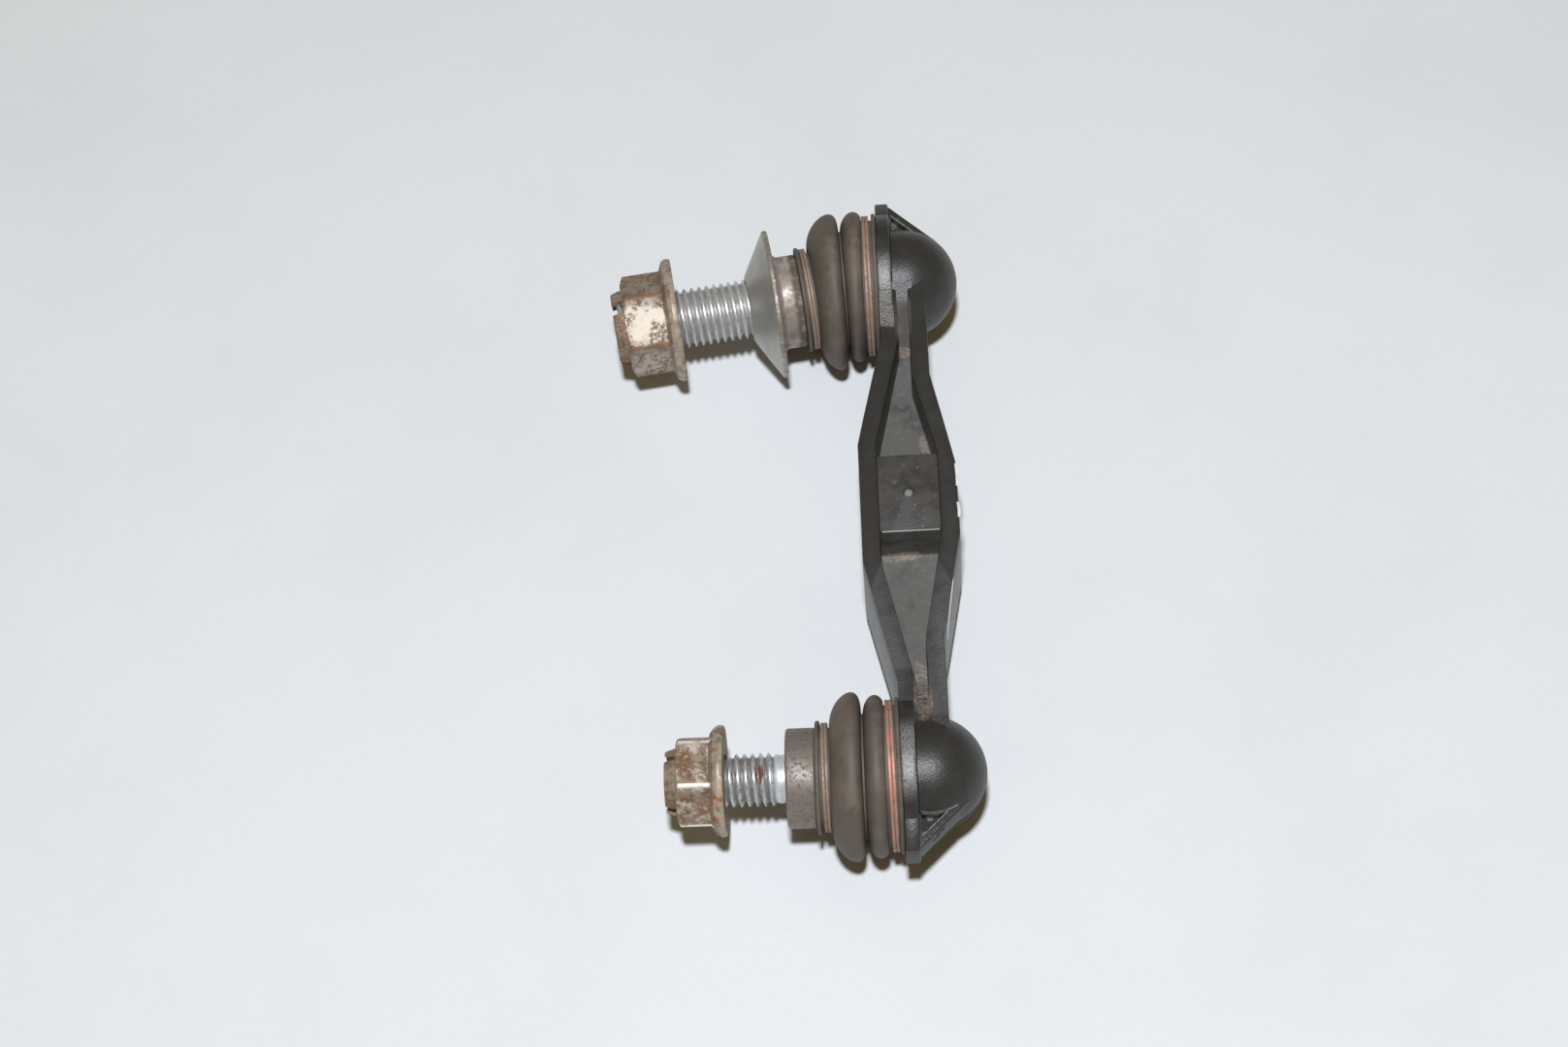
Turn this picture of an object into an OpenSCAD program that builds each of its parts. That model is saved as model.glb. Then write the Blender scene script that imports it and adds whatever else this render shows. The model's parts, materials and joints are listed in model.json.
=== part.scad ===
// Stabilizer link with a ball joint at each end, both studs on the same side.
// X runs along the ball studs with the nuts at -X, Y runs along the link and Z is up.

/* [Link body] */
// Distance between the two ball centres
centre_distance = 110; // [100:1:140]
// Height of the side flanges at the middle of the link
flange_height = 21.6; // [20:0.2:26]
// Height of the side flanges where they reach the ball housings
neck_height = 17; // [14:0.5:19]
// Length of the middle stretch that keeps the full flange height
full_height_length = 24; // [18:1:40]
// Thickness of a side flange
flange_thickness = 3.5; // [2.5:0.1:4]
// Thickness of the web between the flanges
web_thickness = 2.8; // [2:0.1:5]
// Reach of the waist from the ball line towards the nuts
waist_stud_side = 10.5; // [9:0.1:12]
// Reach of the waist from the ball line towards the domes
waist_dome_side = 8.3; // [7.5:0.1:11]
// Reach of the narrow necks from the ball line towards the domes
neck_dome_side = 4.2; // [4:0.1:6]
// Half length of the parallel waist on the side of the upper joint
waist_upper = 11; // [9:0.5:14]
// Half length of the parallel waist on the side of the lower joint
waist_lower = 15; // [10:0.5:16]
// Length of one tapering stretch between waist and neck
taper_length = 25; // [18:0.5:28]
// How much nearer to the middle the waist ends on the dome side
waist_skew = 5.5; // [0:0.5:7]
// Reach of the ramps at the pockets' ends from the ball centres
ramp_reach = 18.5; // [14:0.5:22]
// Length of the raised block in the middle of the web
block_length = 17; // [10:0.5:17]
// Depth of the block's face below the flange edges
block_recess = 0.6; // [0.2:0.1:2]
// Diameter of the round moulding mark on the block
mould_mark_d = 2.4; // [1.5:0.1:4]

/* [Ball housings] */
// Diameter of the ball
ball_d = 16; // [14:0.5:17]
// Wall of the plastic bearing shell
seat_wall = 1.3; // [1:0.1:2]
// Wall of the dome round the bearing shell
dome_wall = 1.5; // [1.2:0.1:3]
// Distance from the ball centre to the plate
plate_offset = 2.3; // [1.5:0.1:3]
// Thickness of the round plate
plate_thickness = 2.75; // [2:0.05:4]
// Width of the round plate outside the socket's mouth
plate_overhang = 2.15; // [1.95:0.05:3.4]
// Wall of the socket's mouth
mouth_wall = 2.68; // [2:0.02:3]
// Length of the mouth in front of the plate
mouth_length = 3.4; // [3:0.1:4]
// Depth of the bearing shell past the ball centre
seat_depth = 4; // [3:0.1:4.5]
// Length of the retaining ring
ring_length = 2.4; // [1.5:0.1:3]
// Reach of the outer tab from the ball centre
tab_reach = 17.3; // [16.5:0.1:21]
// Height of the outer tab above the middle of the link
tab_above = 4; // [2:0.1:5]
// Depth of the outer tab below the middle of the link
tab_below = 1.6; // [1:0.1:5]
// Angle from the tab's middle at which its flanks leave the round plate, in degrees
tab_flank = 31; // [25:1:40]
// Thickness of the tab's inner web
tab_wall = 1.4; // [0.8:0.1:2]
// Thickness of the tab's rim
tab_rim = 2.2; // [1:0.1:3]

/* [Boots] */
// Length of a boot
boot_length = 15.9; // [14.5:0.1:18]
// Thickness of a boot's rubber
boot_wall = 1.3; // [0.9:0.1:1.6]
// Thickness of the rubber under the large clip
bead_wall = 1.1; // [0.8:0.1:1.5]
// Thickness of the rubber under the small clip
cuff_wall = 1.7; // [1.2:0.1:2]
// Diameter of the fold beside the housing
inner_fold_d = 30.4; // [30:0.2:34]
// Diameter of the fold beside the stud's collar
outer_fold_d = 31.6; // [30:0.2:35]
// Diameter of the crease between the folds
crease_d = 23.4; // [22:0.2:25]
// Length of the fold beside the housing
inner_fold_length = 3.9; // [3.5:0.1:5]
// Width of the lip in front of each clip
lip_width = 0.8; // [0.5:0.1:1]
// Height of the lips over the clips' seats
lip_height = 1.35; // [0.8:0.05:1.6]

/* [Clips] */
// Width of the large clip
large_clip_width = 2.1; // [1.6:0.1:2.6]
// Width of the small clip
small_clip_width = 1.9; // [1.4:0.1:2.2]
// Thickness of the clips' wire
clip_wire = 1; // [0.6:0.1:1.2]
// Depth of the groove between a clip's two turns
clip_groove = 0.25; // [0.1:0.05:0.4]

/* [Studs] */
// Turn of the upper stud in the plane of the link at rest, in degrees
upper_angle = 7.1; // [-8:0.1:8]
// Turn of the lower stud in the plane of the link at rest, in degrees
lower_angle = -0.9; // [-8:0.1:8]
// Diameter of the stud's neck
neck_d = 9; // [8:0.2:10]
// Length of the stud's neck in front of the socket's mouth
neck_length = 3; // [2:0.1:4]
// Diameter of the stud where the boot sits
cuff_seat_d = 15; // [13:0.2:16]
// Diameter of both collars
collar_d = 18.7; // [18:0.1:20]
// Length of the upper collar
upper_collar_length = 4.8; // [3:0.1:7]
// Length of the lower collar
lower_collar_length = 5.5; // [3:0.1:7]
// Thread diameter of the upper stud
upper_thread_d = 12; // [11:0.5:12]
// Thread diameter of the lower stud
lower_thread_d = 10; // [9:0.5:10]
// Distance from the upper collar to its nut
upper_grip = 20.2; // [14:0.1:24]
// Distance from the lower collar to its nut
lower_grip = 11.4; // [8:0.1:16]
// Width across flats of the hexagon socket in each stud's end
key_flats = 5; // [4:0.5:6]
// Depth of the hexagon socket
key_depth = 6; // [3:0.5:8]
// Diameter of the cone seat's rim
cone_d = 30; // [26:0.2:31]
// Width of the cone seat's rim
cone_rim = 0.9; // [0.5:0.1:1.5]
// Length of the cone seat
cone_length = 5.8; // [4:0.1:8]
// Wall of the cone seat at its narrow end
cone_end_wall = 0.5; // [0.4:0.05:1]

/* [Nuts] */
// Width across flats of the upper nut
upper_nut_flats = 18; // [17:0.5:19]
// Width across flats of the lower nut
lower_nut_flats = 16; // [15:0.5:17]
// Flange diameter of the upper nut
upper_flange_d = 25; // [23.5:0.1:28]
// Flange diameter of the lower nut
lower_flange_d = 21; // [20.2:0.2:24]
// Hexagon height of the upper nut
upper_hex_height = 8.1; // [6:0.1:10]
// Hexagon height of the lower nut
lower_hex_height = 6.3; // [5:0.1:9]
// Crown diameter of the upper nut
upper_crown_d = 15; // [14.5:0.1:16]
// Crown diameter of the lower nut
lower_crown_d = 12.6; // [12.2:0.1:14]
// Height of both crowns
crown_height = 2.2; // [2:0.1:4]
// Thickness of the flanges at their rim
flange_rim = 1.8; // [1.2:0.1:2.4]
// Height of the cone between flange and hexagon
flange_cone = 0.9; // [0.5:0.1:1.4]
// Width of the slots in the crowns
crown_slot = 2.9; // [1.5:0.1:3.5]

/* [Fits] */
// Gap between pieces that seat on each other
seat_gap = 0.02; // [0.01:0.01:0.05]
// Running gap between pieces that move on each other
run_gap = 0.05; // [0.03:0.01:0.08]

/* [Hidden] */
$fn = 96;
fold_steps = 9;
// How the crests lean: above 1 towards the housing, below 1 towards the nut
inner_lean = 0.7;
outer_lean = 1.35;
boot_facets = 36;
// Puts the flats of a faceted bore, and not its corners, at the bore's radius
flat_factor = 1 / cos(180 / boot_facets);
UPPER = 0;
LOWER = 1;
overcut = 1;
chamfer = 0.5;
end_recess = 1;

// Values of the two ends, upper first
angles = [upper_angle, lower_angle];
threads = [upper_thread_d, lower_thread_d];
collar_lengths = [upper_collar_length, lower_collar_length];
grips = [upper_grip, lower_grip];
nut_flats = [upper_nut_flats, lower_nut_flats];
nut_flanges = [upper_flange_d, lower_flange_d];
hex_heights = [upper_hex_height, lower_hex_height];
crowns = [upper_crown_d, lower_crown_d];
// How far each nut is turned on its stud: hexagon corners and crown slots, in degrees
hex_turns = [0, -30];
slot_turns = [1.5, 30];

// Radii of the socket, from the ball outwards
ball_r = ball_d / 2;
seat_inner_r = ball_r + run_gap;
seat_outer_r = seat_inner_r + seat_wall;
socket_r = seat_outer_r + seat_gap;
dome_r = socket_r + dome_wall;
mouth_r = socket_r + mouth_wall;
plate_r = mouth_r + plate_overhang;

// Stations along the stud, measured from the ball centre towards the nut
plate_face = plate_offset + plate_thickness;
mouth_end = plate_face + mouth_length;
boot_start = plate_face + seat_gap;
large_clip_start = boot_start + lip_width;
inner_fold_start = large_clip_start + large_clip_width;
crease_at = inner_fold_start + inner_fold_length;
collar_start = plate_face + boot_length + run_gap;
boot_end = collar_start - run_gap;
small_clip_end = boot_end - lip_width;
small_clip_start = small_clip_end - small_clip_width;
neck_r = neck_d / 2;
cuff_seat_r = cuff_seat_d / 2;
flare_start = mouth_end + neck_length;
flare_end = small_clip_start - boot_wall;

// Radii of the boot
bead_inner_r = mouth_r + run_gap;
bead_r = bead_inner_r + bead_wall;
cuff_inner_r = cuff_seat_r + run_gap;
cuff_r = cuff_inner_r + cuff_wall;
crease_r = crease_d / 2;

// Where the row stands: the widest round piece touches the ground, and the box is centred over the origin
axis_height = max(outer_fold_d, inner_fold_d, 2 * plate_r, cone_d, upper_flange_d, flange_height) / 2;
upper_nut_end = collar_end(UPPER) + upper_grip + nut_height(UPPER);
nut_reach = upper_nut_end * cos(upper_angle) + upper_crown_d / 2 * abs(sin(upper_angle));
shift_x = (nut_reach - dome_r) / 2;

function side(end) = end == UPPER ? 1 : -1;
function collar_end(end) = collar_start + collar_lengths[end];
function nut_face(end) = collar_end(end) + grips[end];
function nut_height(end) = flange_rim + flange_cone + hex_heights[end] + crown_height;
function stud_end(end) = nut_face(end) + nut_height(end) - end_recess;

// A rounded fold: radii r0 and r1 at its ends, rc at its crest, as points [radius, station]
function fold(t0, t1, r0, rc, r1, lean) =
    let (mean = (r0 + r1) / 2, half = (r1 - r0) / 2, rise = sqrt(pow(rc - mean, 2) - pow(half, 2)))
    [for (i = [0 : fold_steps])
        let (a = 180 * i / fold_steps)
        [mean - half * cos(a) + rise * sin(a), t0 + (t1 - t0) * pow((1 - cos(a)) / 2, lean)]];

function reversed(list) = [for (i = [len(list) - 1 : -1 : 0]) list[i]];

// Puts a piece modelled along +Z, from the ball centre, onto a housing's axis
module on_housing(end) {
    translate([shift_x, side(end) * centre_distance / 2, axis_height])
        rotate([0, -90, 0])
            children();
}

// The same onto a stud's axis, which stands a little askew at rest
module on_stud(end) {
    translate([shift_x, side(end) * centre_distance / 2, axis_height])
        rotate([0, 0, angles[end]])
            rotate([0, -90, 0])
                children();
}

// A round stretch between two stations
module turned(r, from, to) {
    translate([0, 0, from])
        cylinder(r = r, h = to - from);
}

// A tapered round stretch between two stations
module tapered(r_from, r_to, from, to) {
    translate([0, 0, from])
        cylinder(r1 = r_from, r2 = r_to, h = to - from);
}

// Outline of the link from above, with X from the ball line
module beam_outline() {
    reach = centre_distance / 2 - plate_offset;
    skew = waist_skew + flange_thickness;
    polygon([
        [-plate_face, reach],
        [-plate_face, waist_upper + taper_length],
        [-waist_stud_side, waist_upper],
        [-waist_stud_side, -waist_lower],
        [-plate_face, -waist_lower - taper_length],
        [-plate_face, -reach],
        [neck_dome_side, -reach],
        [neck_dome_side, -waist_lower - taper_length + skew],
        [waist_dome_side, -waist_lower + waist_skew],
        [waist_dome_side, waist_upper - waist_skew],
        [neck_dome_side, waist_upper + taper_length - skew],
        [neck_dome_side, reach]]);
}

// Outline of the pocket between the flanges on one side of the block
module pocket_outline(end) {
    waist = end == UPPER ? waist_upper : waist_lower;
    reach = centre_distance / 2;
    inner_stud = flange_thickness - waist_stud_side;
    inner_dome = waist_dome_side - flange_thickness;
    neck_stud = flange_thickness - plate_face;
    neck_dome = neck_dome_side - flange_thickness;
    scale([1, side(end)])
        polygon([
            [inner_stud, block_length / 2],
            [inner_stud, waist],
            [neck_stud, waist + taper_length],
            [neck_stud, reach],
            [neck_dome, reach],
            [neck_dome, waist + taper_length - waist_skew - flange_thickness],
            [inner_dome, max(waist - waist_skew, block_length / 2 + overcut / 10)],
            [inner_dome, block_length / 2]]);
}

// Side view of the link: the flanges lose height towards the housings
module height_profile() {
    reach = centre_distance / 2;
    polygon([
        [-reach, -neck_height / 2],
        [-full_height_length / 2, -flange_height / 2],
        [full_height_length / 2, -flange_height / 2],
        [reach, -neck_height / 2],
        [reach, neck_height / 2],
        [full_height_length / 2, flange_height / 2],
        [-full_height_length / 2, flange_height / 2],
        [-reach, neck_height / 2]]);
}

// Ramp at the end of the pockets on both faces, rising from the web to the dome
module ramp() {
    neck_stud = flange_thickness - plate_face;
    neck_dome = neck_dome_side - flange_thickness;
    foot = [ramp_reach, web_thickness / 2];
    touch_angle = atan2(foot[1], foot[0]) + acos(dome_r / norm(foot));
    touch = dome_r * [cos(touch_angle), sin(touch_angle)];
    translate([neck_stud - overcut, 0, 0])
        rotate([90, 0, 90])
            linear_extrude(neck_dome - neck_stud + 2 * overcut)
                polygon([
                    [0, 0],
                    [touch[0], -touch[1]],
                    [foot[0], -foot[1]],
                    foot,
                    touch]);
}

// The I-section between the housings
module beam() {
    inner_stud = flange_thickness - waist_stud_side;
    inner_dome = waist_dome_side - flange_thickness;
    difference() {
        intersection() {
            translate([0, 0, -flange_height])
                linear_extrude(2 * flange_height)
                    beam_outline();
            translate([-centre_distance / 2, 0, 0])
                rotate([90, 0, 90])
                    linear_extrude(centre_distance)
                        height_profile();
        }
        for (face = [0, 1])
            mirror([0, 0, face]) {
                for (end = [UPPER, LOWER])
                    translate([0, 0, web_thickness / 2])
                        linear_extrude(flange_height)
                            pocket_outline(end);
                translate([inner_stud, -block_length / 2, flange_height / 2 - block_recess])
                    cube([inner_dome - inner_stud, block_length, flange_height]);
            }
        translate([(inner_stud + inner_dome) / 2, 0, flange_height / 2 - block_recess - chamfer / 2])
            cylinder(d = mould_mark_d, h = flange_height);
    }
}

// Outer form of one ball housing: dome, plate and the mouth under the boot
module housing_form() {
    sphere(r = dome_r);
    turned(dome_r, 0, plate_offset + overcut);
    turned(plate_r, plate_offset, plate_face);
    turned(mouth_r, plate_offset, mouth_end);
}

// The tab on a housing's outer side, drawn with the ball centre at the origin and the tab towards +Y:
// a pocketed web that leans on the dome, and flanks that draw the plate out to the tip
module tab() {
    tip = [-plate_offset, tab_reach];
    tip_angle = atan2(tip[1], tip[0]);
    touch_angle = tip_angle - acos(dome_r / norm(tip));
    touch = dome_r * [cos(touch_angle), sin(touch_angle)];
    slope = (touch[1] - tip[1]) / (touch[0] - tip[0]);
    rim_drop = tab_rim / cos(atan(slope));
    pocket_top = tip[1] - rim_drop;
    pocket_foot = dome_r * 0.6;
    flank = plate_r * [cos(tab_flank), sin(tab_flank)];
    difference() {
        union() {
            translate([0, 0, -tab_below])
                linear_extrude(tab_above + tab_below)
                    polygon([
                        [-plate_offset - overcut, 0],
                        [-plate_offset - overcut, tab_reach],
                        tip,
                        touch,
                        [0, 0]]);
            translate([-plate_face, 0, 0])
                rotate([90, 0, 90])
                    linear_extrude(plate_thickness)
                        polygon([
                            [0, 0],
                            [flank[0], -flank[1]],
                            [tab_reach, -tab_below],
                            [tab_reach, tab_above],
                            flank]);
        }
        translate([0, 0, (tab_above - tab_below) / 2])
            for (face = [0, 1])
                mirror([0, 0, face])
                    translate([0, 0, tab_wall / 2])
                        linear_extrude(tab_above + tab_below)
                            polygon([
                                [-plate_offset, pocket_foot],
                                [-plate_offset, pocket_top],
                                [(pocket_foot - pocket_top) / slope - plate_offset, pocket_foot]]);
    }
}

module link_body() {
    color([0.17, 0.17, 0.165])
        difference() {
            union() {
                translate([shift_x, 0, axis_height])
                    beam();
                for (end = [UPPER, LOWER]) {
                    on_housing(end)
                        housing_form();
                    translate([shift_x, side(end) * centre_distance / 2, axis_height])
                        mirror([0, end == UPPER ? 0 : 1, 0]) {
                            tab();
                            mirror([0, 1, 0])
                                ramp();
                        }
                }
            }
            for (end = [UPPER, LOWER])
                on_housing(end) {
                    sphere(r = socket_r);
                    turned(socket_r, 0, dome_r + overcut);
                }
        }
}

// Bearing shell: a cup round the ball, straight outside past the ball centre
module ball_seat(end) {
    color([0.85, 0.84, 0.78])
        on_housing(end)
            difference() {
                union() {
                    intersection() {
                        sphere(r = seat_outer_r);
                        turned(seat_outer_r, -seat_outer_r, 0);
                    }
                    turned(seat_outer_r, 0, seat_depth);
                }
                sphere(r = seat_inner_r);
            }
}

// Ring that closes the socket in front of the bearing shell
module retaining_ring(end) {
    from = seat_depth + seat_gap;
    to = from + ring_length;
    inner_r = sqrt(pow(seat_inner_r, 2) - pow(from, 2)) + chamfer / 2;
    color([0.55, 0.56, 0.57])
        on_housing(end)
            difference() {
                turned(seat_outer_r, from, to);
                tapered(inner_r, min(inner_r + ring_length / 2, seat_outer_r - chamfer), from, to);
                turned(inner_r, from - overcut, from + chamfer / 2);
                turned(min(inner_r + ring_length / 2, seat_outer_r - chamfer), to - chamfer / 2, to + overcut);
            }
}

// A clip wound in two turns of flat wire, with a groove between the turns
module wound_clip(inner_r, from, to) {
    middle = (from + to) / 2;
    outer_r = inner_r + clip_wire;
    rotate_extrude()
        polygon([
            [inner_r, from],
            [outer_r - clip_groove, from],
            [outer_r, from + clip_groove],
            [outer_r, middle - clip_groove],
            [outer_r - clip_groove, middle],
            [outer_r, middle + clip_groove],
            [outer_r, to - clip_groove],
            [outer_r - clip_groove, to],
            [inner_r, to]]);
}

module large_clip(end) {
    color([0.55, 0.45, 0.39])
        on_housing(end)
            wound_clip(bead_r + seat_gap, large_clip_start + seat_gap, inner_fold_start - seat_gap);
}

module small_clip(end) {
    color([0.59, 0.45, 0.31])
        on_stud(end)
            wound_clip(cuff_r + seat_gap, small_clip_start + seat_gap, small_clip_end - seat_gap);
}

// Section of a boot, once round: bead, two folds and cuff outside, then back along the inside
function boot_section() =
    let (fold_end = boot_wall / 4)
    concat(
        [[bead_inner_r * flat_factor, boot_start],
         [bead_r + lip_height, boot_start],
         [bead_r + lip_height, large_clip_start],
         [bead_r, large_clip_start]],
        fold(inner_fold_start, crease_at, bead_r, inner_fold_d / 2, crease_r, inner_lean),
        fold(crease_at + fold_end, small_clip_start, crease_r, outer_fold_d / 2, cuff_r + lip_height / 2,
             outer_lean),
        [[cuff_r, small_clip_start],
         [cuff_r, small_clip_end],
         [cuff_r + lip_height, small_clip_end],
         [cuff_r + lip_height, boot_end],
         [cuff_inner_r * flat_factor, boot_end]],
        reversed(fold(crease_at + 2 * fold_end, small_clip_start - fold_end, crease_r - boot_wall,
                      outer_fold_d / 2 - boot_wall, cuff_inner_r * flat_factor, outer_lean)),
        reversed(fold(inner_fold_start + fold_end, crease_at - fold_end, bead_inner_r * flat_factor,
                      inner_fold_d / 2 - boot_wall, crease_r - boot_wall, inner_lean)));

// How much of the stud's turn a boot has taken up at a station: none at the bead, all of it at the cuff
function bend_share(t) =
    let (u = (t - inner_fold_start) / (small_clip_start - inner_fold_start), v = min(max(u, 0), 1))
    v * v * (3 - 2 * v);

// A boot: its section swept round the axis, each ring turned about the ball centre by its share of the angle
module boot(end) {
    section = boot_section();
    count = len(section);
    points = [for (p = section, j = [0 : boot_facets - 1])
        let (a = 360 * j / boot_facets, turn = angles[end] * bend_share(p[1]), y = p[0] * sin(a))
        [p[0] * cos(a), y * cos(turn) - p[1] * sin(turn), p[1] * cos(turn) + y * sin(turn)]];
    faces = [for (i = [0 : count - 1], j = [0 : boot_facets - 1])
        let (i2 = (i + 1) % count, j2 = (j + 1) % boot_facets,
             a = i * boot_facets + j, b = i2 * boot_facets + j,
             c = i2 * boot_facets + j2, d = i * boot_facets + j2)
        each [[a, b, c], [a, c, d]]];
    color([0.34, 0.32, 0.29])
        on_housing(end)
            polyhedron(points, faces);
}

// Ball, neck, flare under the boot's cuff, collar and threaded shank, with a hexagon socket in the end
module ball_stud(end) {
    thread_r = threads[end] / 2;
    collar_r = collar_d / 2;
    color([0.62, 0.61, 0.59])
        on_stud(end)
            difference() {
                union() {
                    sphere(r = ball_r);
                    turned(neck_r, 0, flare_start);
                    tapered(neck_r, cuff_seat_r, flare_start, flare_end);
                    turned(cuff_seat_r, flare_end, collar_start + chamfer);
                    tapered(collar_r - chamfer, collar_r, collar_start, collar_start + chamfer);
                    turned(collar_r, collar_start + chamfer, collar_end(end) - chamfer);
                    tapered(collar_r, collar_r - chamfer, collar_end(end) - chamfer, collar_end(end));
                    turned(thread_r, collar_end(end) - chamfer, stud_end(end) - 2 * chamfer);
                    tapered(thread_r, thread_r - 2 * chamfer, stud_end(end) - 2 * chamfer, stud_end(end));
                }
                translate([0, 0, stud_end(end) - key_depth])
                    cylinder(r = key_flats / 2 / cos(30), h = key_depth + overcut, $fn = 6);
            }
}

// Conical seat that sits against the upper collar and narrows towards the nut
module cone_ring(end) {
    bore_r = threads[end] / 2 + seat_gap;
    from = collar_end(end) + seat_gap;
    color([0.53, 0.52, 0.51])
        on_stud(end)
            difference() {
                union() {
                    turned(cone_d / 2, from, from + cone_rim);
                    tapered(cone_d / 2, bore_r + cone_end_wall, from + cone_rim, from + cone_length);
                }
                turned(bore_r, from - overcut, from + cone_length + overcut);
            }
}

// Flange nut: bearing flange, hexagon with a chamfered top, and a tapered crown with three slots
module nut(end) {
    bore_r = threads[end] / 2 + run_gap;
    flange_r = nut_flanges[end] / 2;
    flats_r = nut_flats[end] / 2;
    corner_r = flats_r / cos(30);
    crown_r = crowns[end] / 2;
    cone_start = nut_face(end) + flange_rim;
    hex_start = cone_start + flange_cone;
    hex_end = hex_start + hex_heights[end];
    crown_end = hex_end + crown_height;
    corner_drop = (corner_r - flats_r) / 2 + chamfer;
    color([0.56, 0.52, 0.47])
        on_stud(end)
            difference() {
                union() {
                    turned(flange_r, nut_face(end), cone_start);
                    tapered(flange_r, (flats_r + corner_r) / 2, cone_start, hex_start);
                    intersection() {
                        translate([0, 0, cone_start])
                            rotate(hex_turns[end])
                                cylinder(r = corner_r, h = hex_end - cone_start, $fn = 6);
                        union() {
                            turned(corner_r + overcut, cone_start, hex_end - corner_drop);
                            tapered(corner_r + chamfer, flats_r - chamfer, hex_end - corner_drop, hex_end);
                        }
                    }
                    turned(crown_r, hex_start, hex_end + chamfer);
                    tapered(crown_r, crown_r - chamfer, hex_end + chamfer, crown_end);
                }
                turned(bore_r, nut_face(end) - overcut, crown_end + overcut);
                for (i = [0 : 2])
                    rotate(slot_turns[end] + 120 * i)
                        translate([0, -crown_slot / 2, hex_end])
                            cube([crown_r + overcut, crown_slot, crown_height + overcut]);
            }
}

link_body();
ball_seat(UPPER);  // upper_ball_seat
retaining_ring(UPPER);  // upper_retaining_ring
large_clip(UPPER);  // upper_large_clip
boot(UPPER);  // upper_boot
small_clip(UPPER);  // upper_small_clip
ball_stud(UPPER);  // upper_ball_stud
cone_ring(UPPER);  // upper_cone_ring
nut(UPPER);  // upper_nut
ball_seat(LOWER);  // lower_ball_seat
retaining_ring(LOWER);  // lower_retaining_ring
large_clip(LOWER);  // lower_large_clip
boot(LOWER);  // lower_boot
small_clip(LOWER);  // lower_small_clip
ball_stud(LOWER);  // lower_ball_stud
nut(LOWER);  // lower_nut
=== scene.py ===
import json
import math

import bmesh
import bpy
from mathutils import Matrix, Vector


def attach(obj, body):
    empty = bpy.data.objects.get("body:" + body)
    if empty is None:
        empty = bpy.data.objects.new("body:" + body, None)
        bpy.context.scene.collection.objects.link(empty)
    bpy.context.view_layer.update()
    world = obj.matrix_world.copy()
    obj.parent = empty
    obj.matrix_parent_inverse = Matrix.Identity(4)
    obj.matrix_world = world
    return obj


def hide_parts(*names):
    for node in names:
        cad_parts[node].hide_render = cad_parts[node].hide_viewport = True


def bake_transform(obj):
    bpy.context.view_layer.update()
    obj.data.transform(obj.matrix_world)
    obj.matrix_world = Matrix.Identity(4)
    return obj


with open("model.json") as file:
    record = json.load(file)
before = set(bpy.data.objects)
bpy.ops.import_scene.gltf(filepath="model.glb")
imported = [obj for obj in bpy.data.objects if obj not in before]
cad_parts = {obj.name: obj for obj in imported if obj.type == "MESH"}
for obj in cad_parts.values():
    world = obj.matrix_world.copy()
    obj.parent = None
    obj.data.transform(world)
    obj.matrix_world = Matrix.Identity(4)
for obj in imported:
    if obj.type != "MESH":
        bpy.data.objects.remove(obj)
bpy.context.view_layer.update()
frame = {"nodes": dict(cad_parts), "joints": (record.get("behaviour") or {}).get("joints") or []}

MM = 0.001
scene = bpy.context.scene
scene.view_settings.view_transform = "Standard"
JOINTS = {joint["name"]: joint for joint in frame["joints"]}

# Sizes in millimetres. Stations run along a stud, from the ball centre towards the nut.
HALF_SPAN = 55.0
CLEAR = 0.04  # keeps a face out of the plane of another one that it is joined to
MERGE = 1e-5

# Ball housings
DOME_R, SOCKET_R = 10.87, 9.37
MOUTH_R, MOUTH_END = 12.05, 8.45
PLATE_R, PLATE_BACK, PLATE_FACE = 14.2, 2.3, 5.05
TAB_REACH, TAB_ABOVE, TAB_BELOW, TAB_FLANK = 17.3, 4.0, 1.6, 31
TAB_WEB, TAB_RIM, TAB_STEP, TAB_INSET = 0.7, 1.5, 0.55, 0.45
POCKET_FOOT, POCKET_FOOT_R = 7.0, 9.9
RAMP_REACH, RAMP_SIDES = 18.5, (-2.5, 1.6)

# Beam: half heights, then the flanges' walls along the waist and along the necks, then stations
# along the link with the upper end first
BEAM_HALF, BEAM_END_HALF, BLOCK_HALF, WEB_HALF = 10.8, 8.5, 10.2, 1.4
BLOCK_END, BLOCK_DRAFT, BEAM_ROUND = 8.5, 0.4, 0.27
STUD_OUT, STUD_IN, DOME_IN, DOME_OUT = -10.5, -7.0, 4.8, 8.3
NECK_STUD_IN, NECK_DOME_IN, NECK_DOME_OUT = -1.55, 0.7, 4.2
NECK_MIDDLES = (-3.3, 2.45)
STUD_WAIST, STUD_NECK = (11, -15), (36, -40)
DOME_WAIST, DOME_NECK = (5.5, -9.5), (27, -31)
CREASES = [(Vector(inner), Vector(outer)) for inner, outer in (
    ((-7.0, -15.0), (-9.15, -21.2)), ((3.75, -15.0), (6.18, -20.6)),
    ((-7.0, 11.0), (-9.15, 17.2)), ((4.32, 10.6), (6.3, 16.0)))]
MARK_R, MARK_X, MARK_LIFT = 1.2, -1.1, 0.25
LABEL_THICK, LABEL_EDGE_X = 0.06, 8.26

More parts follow.
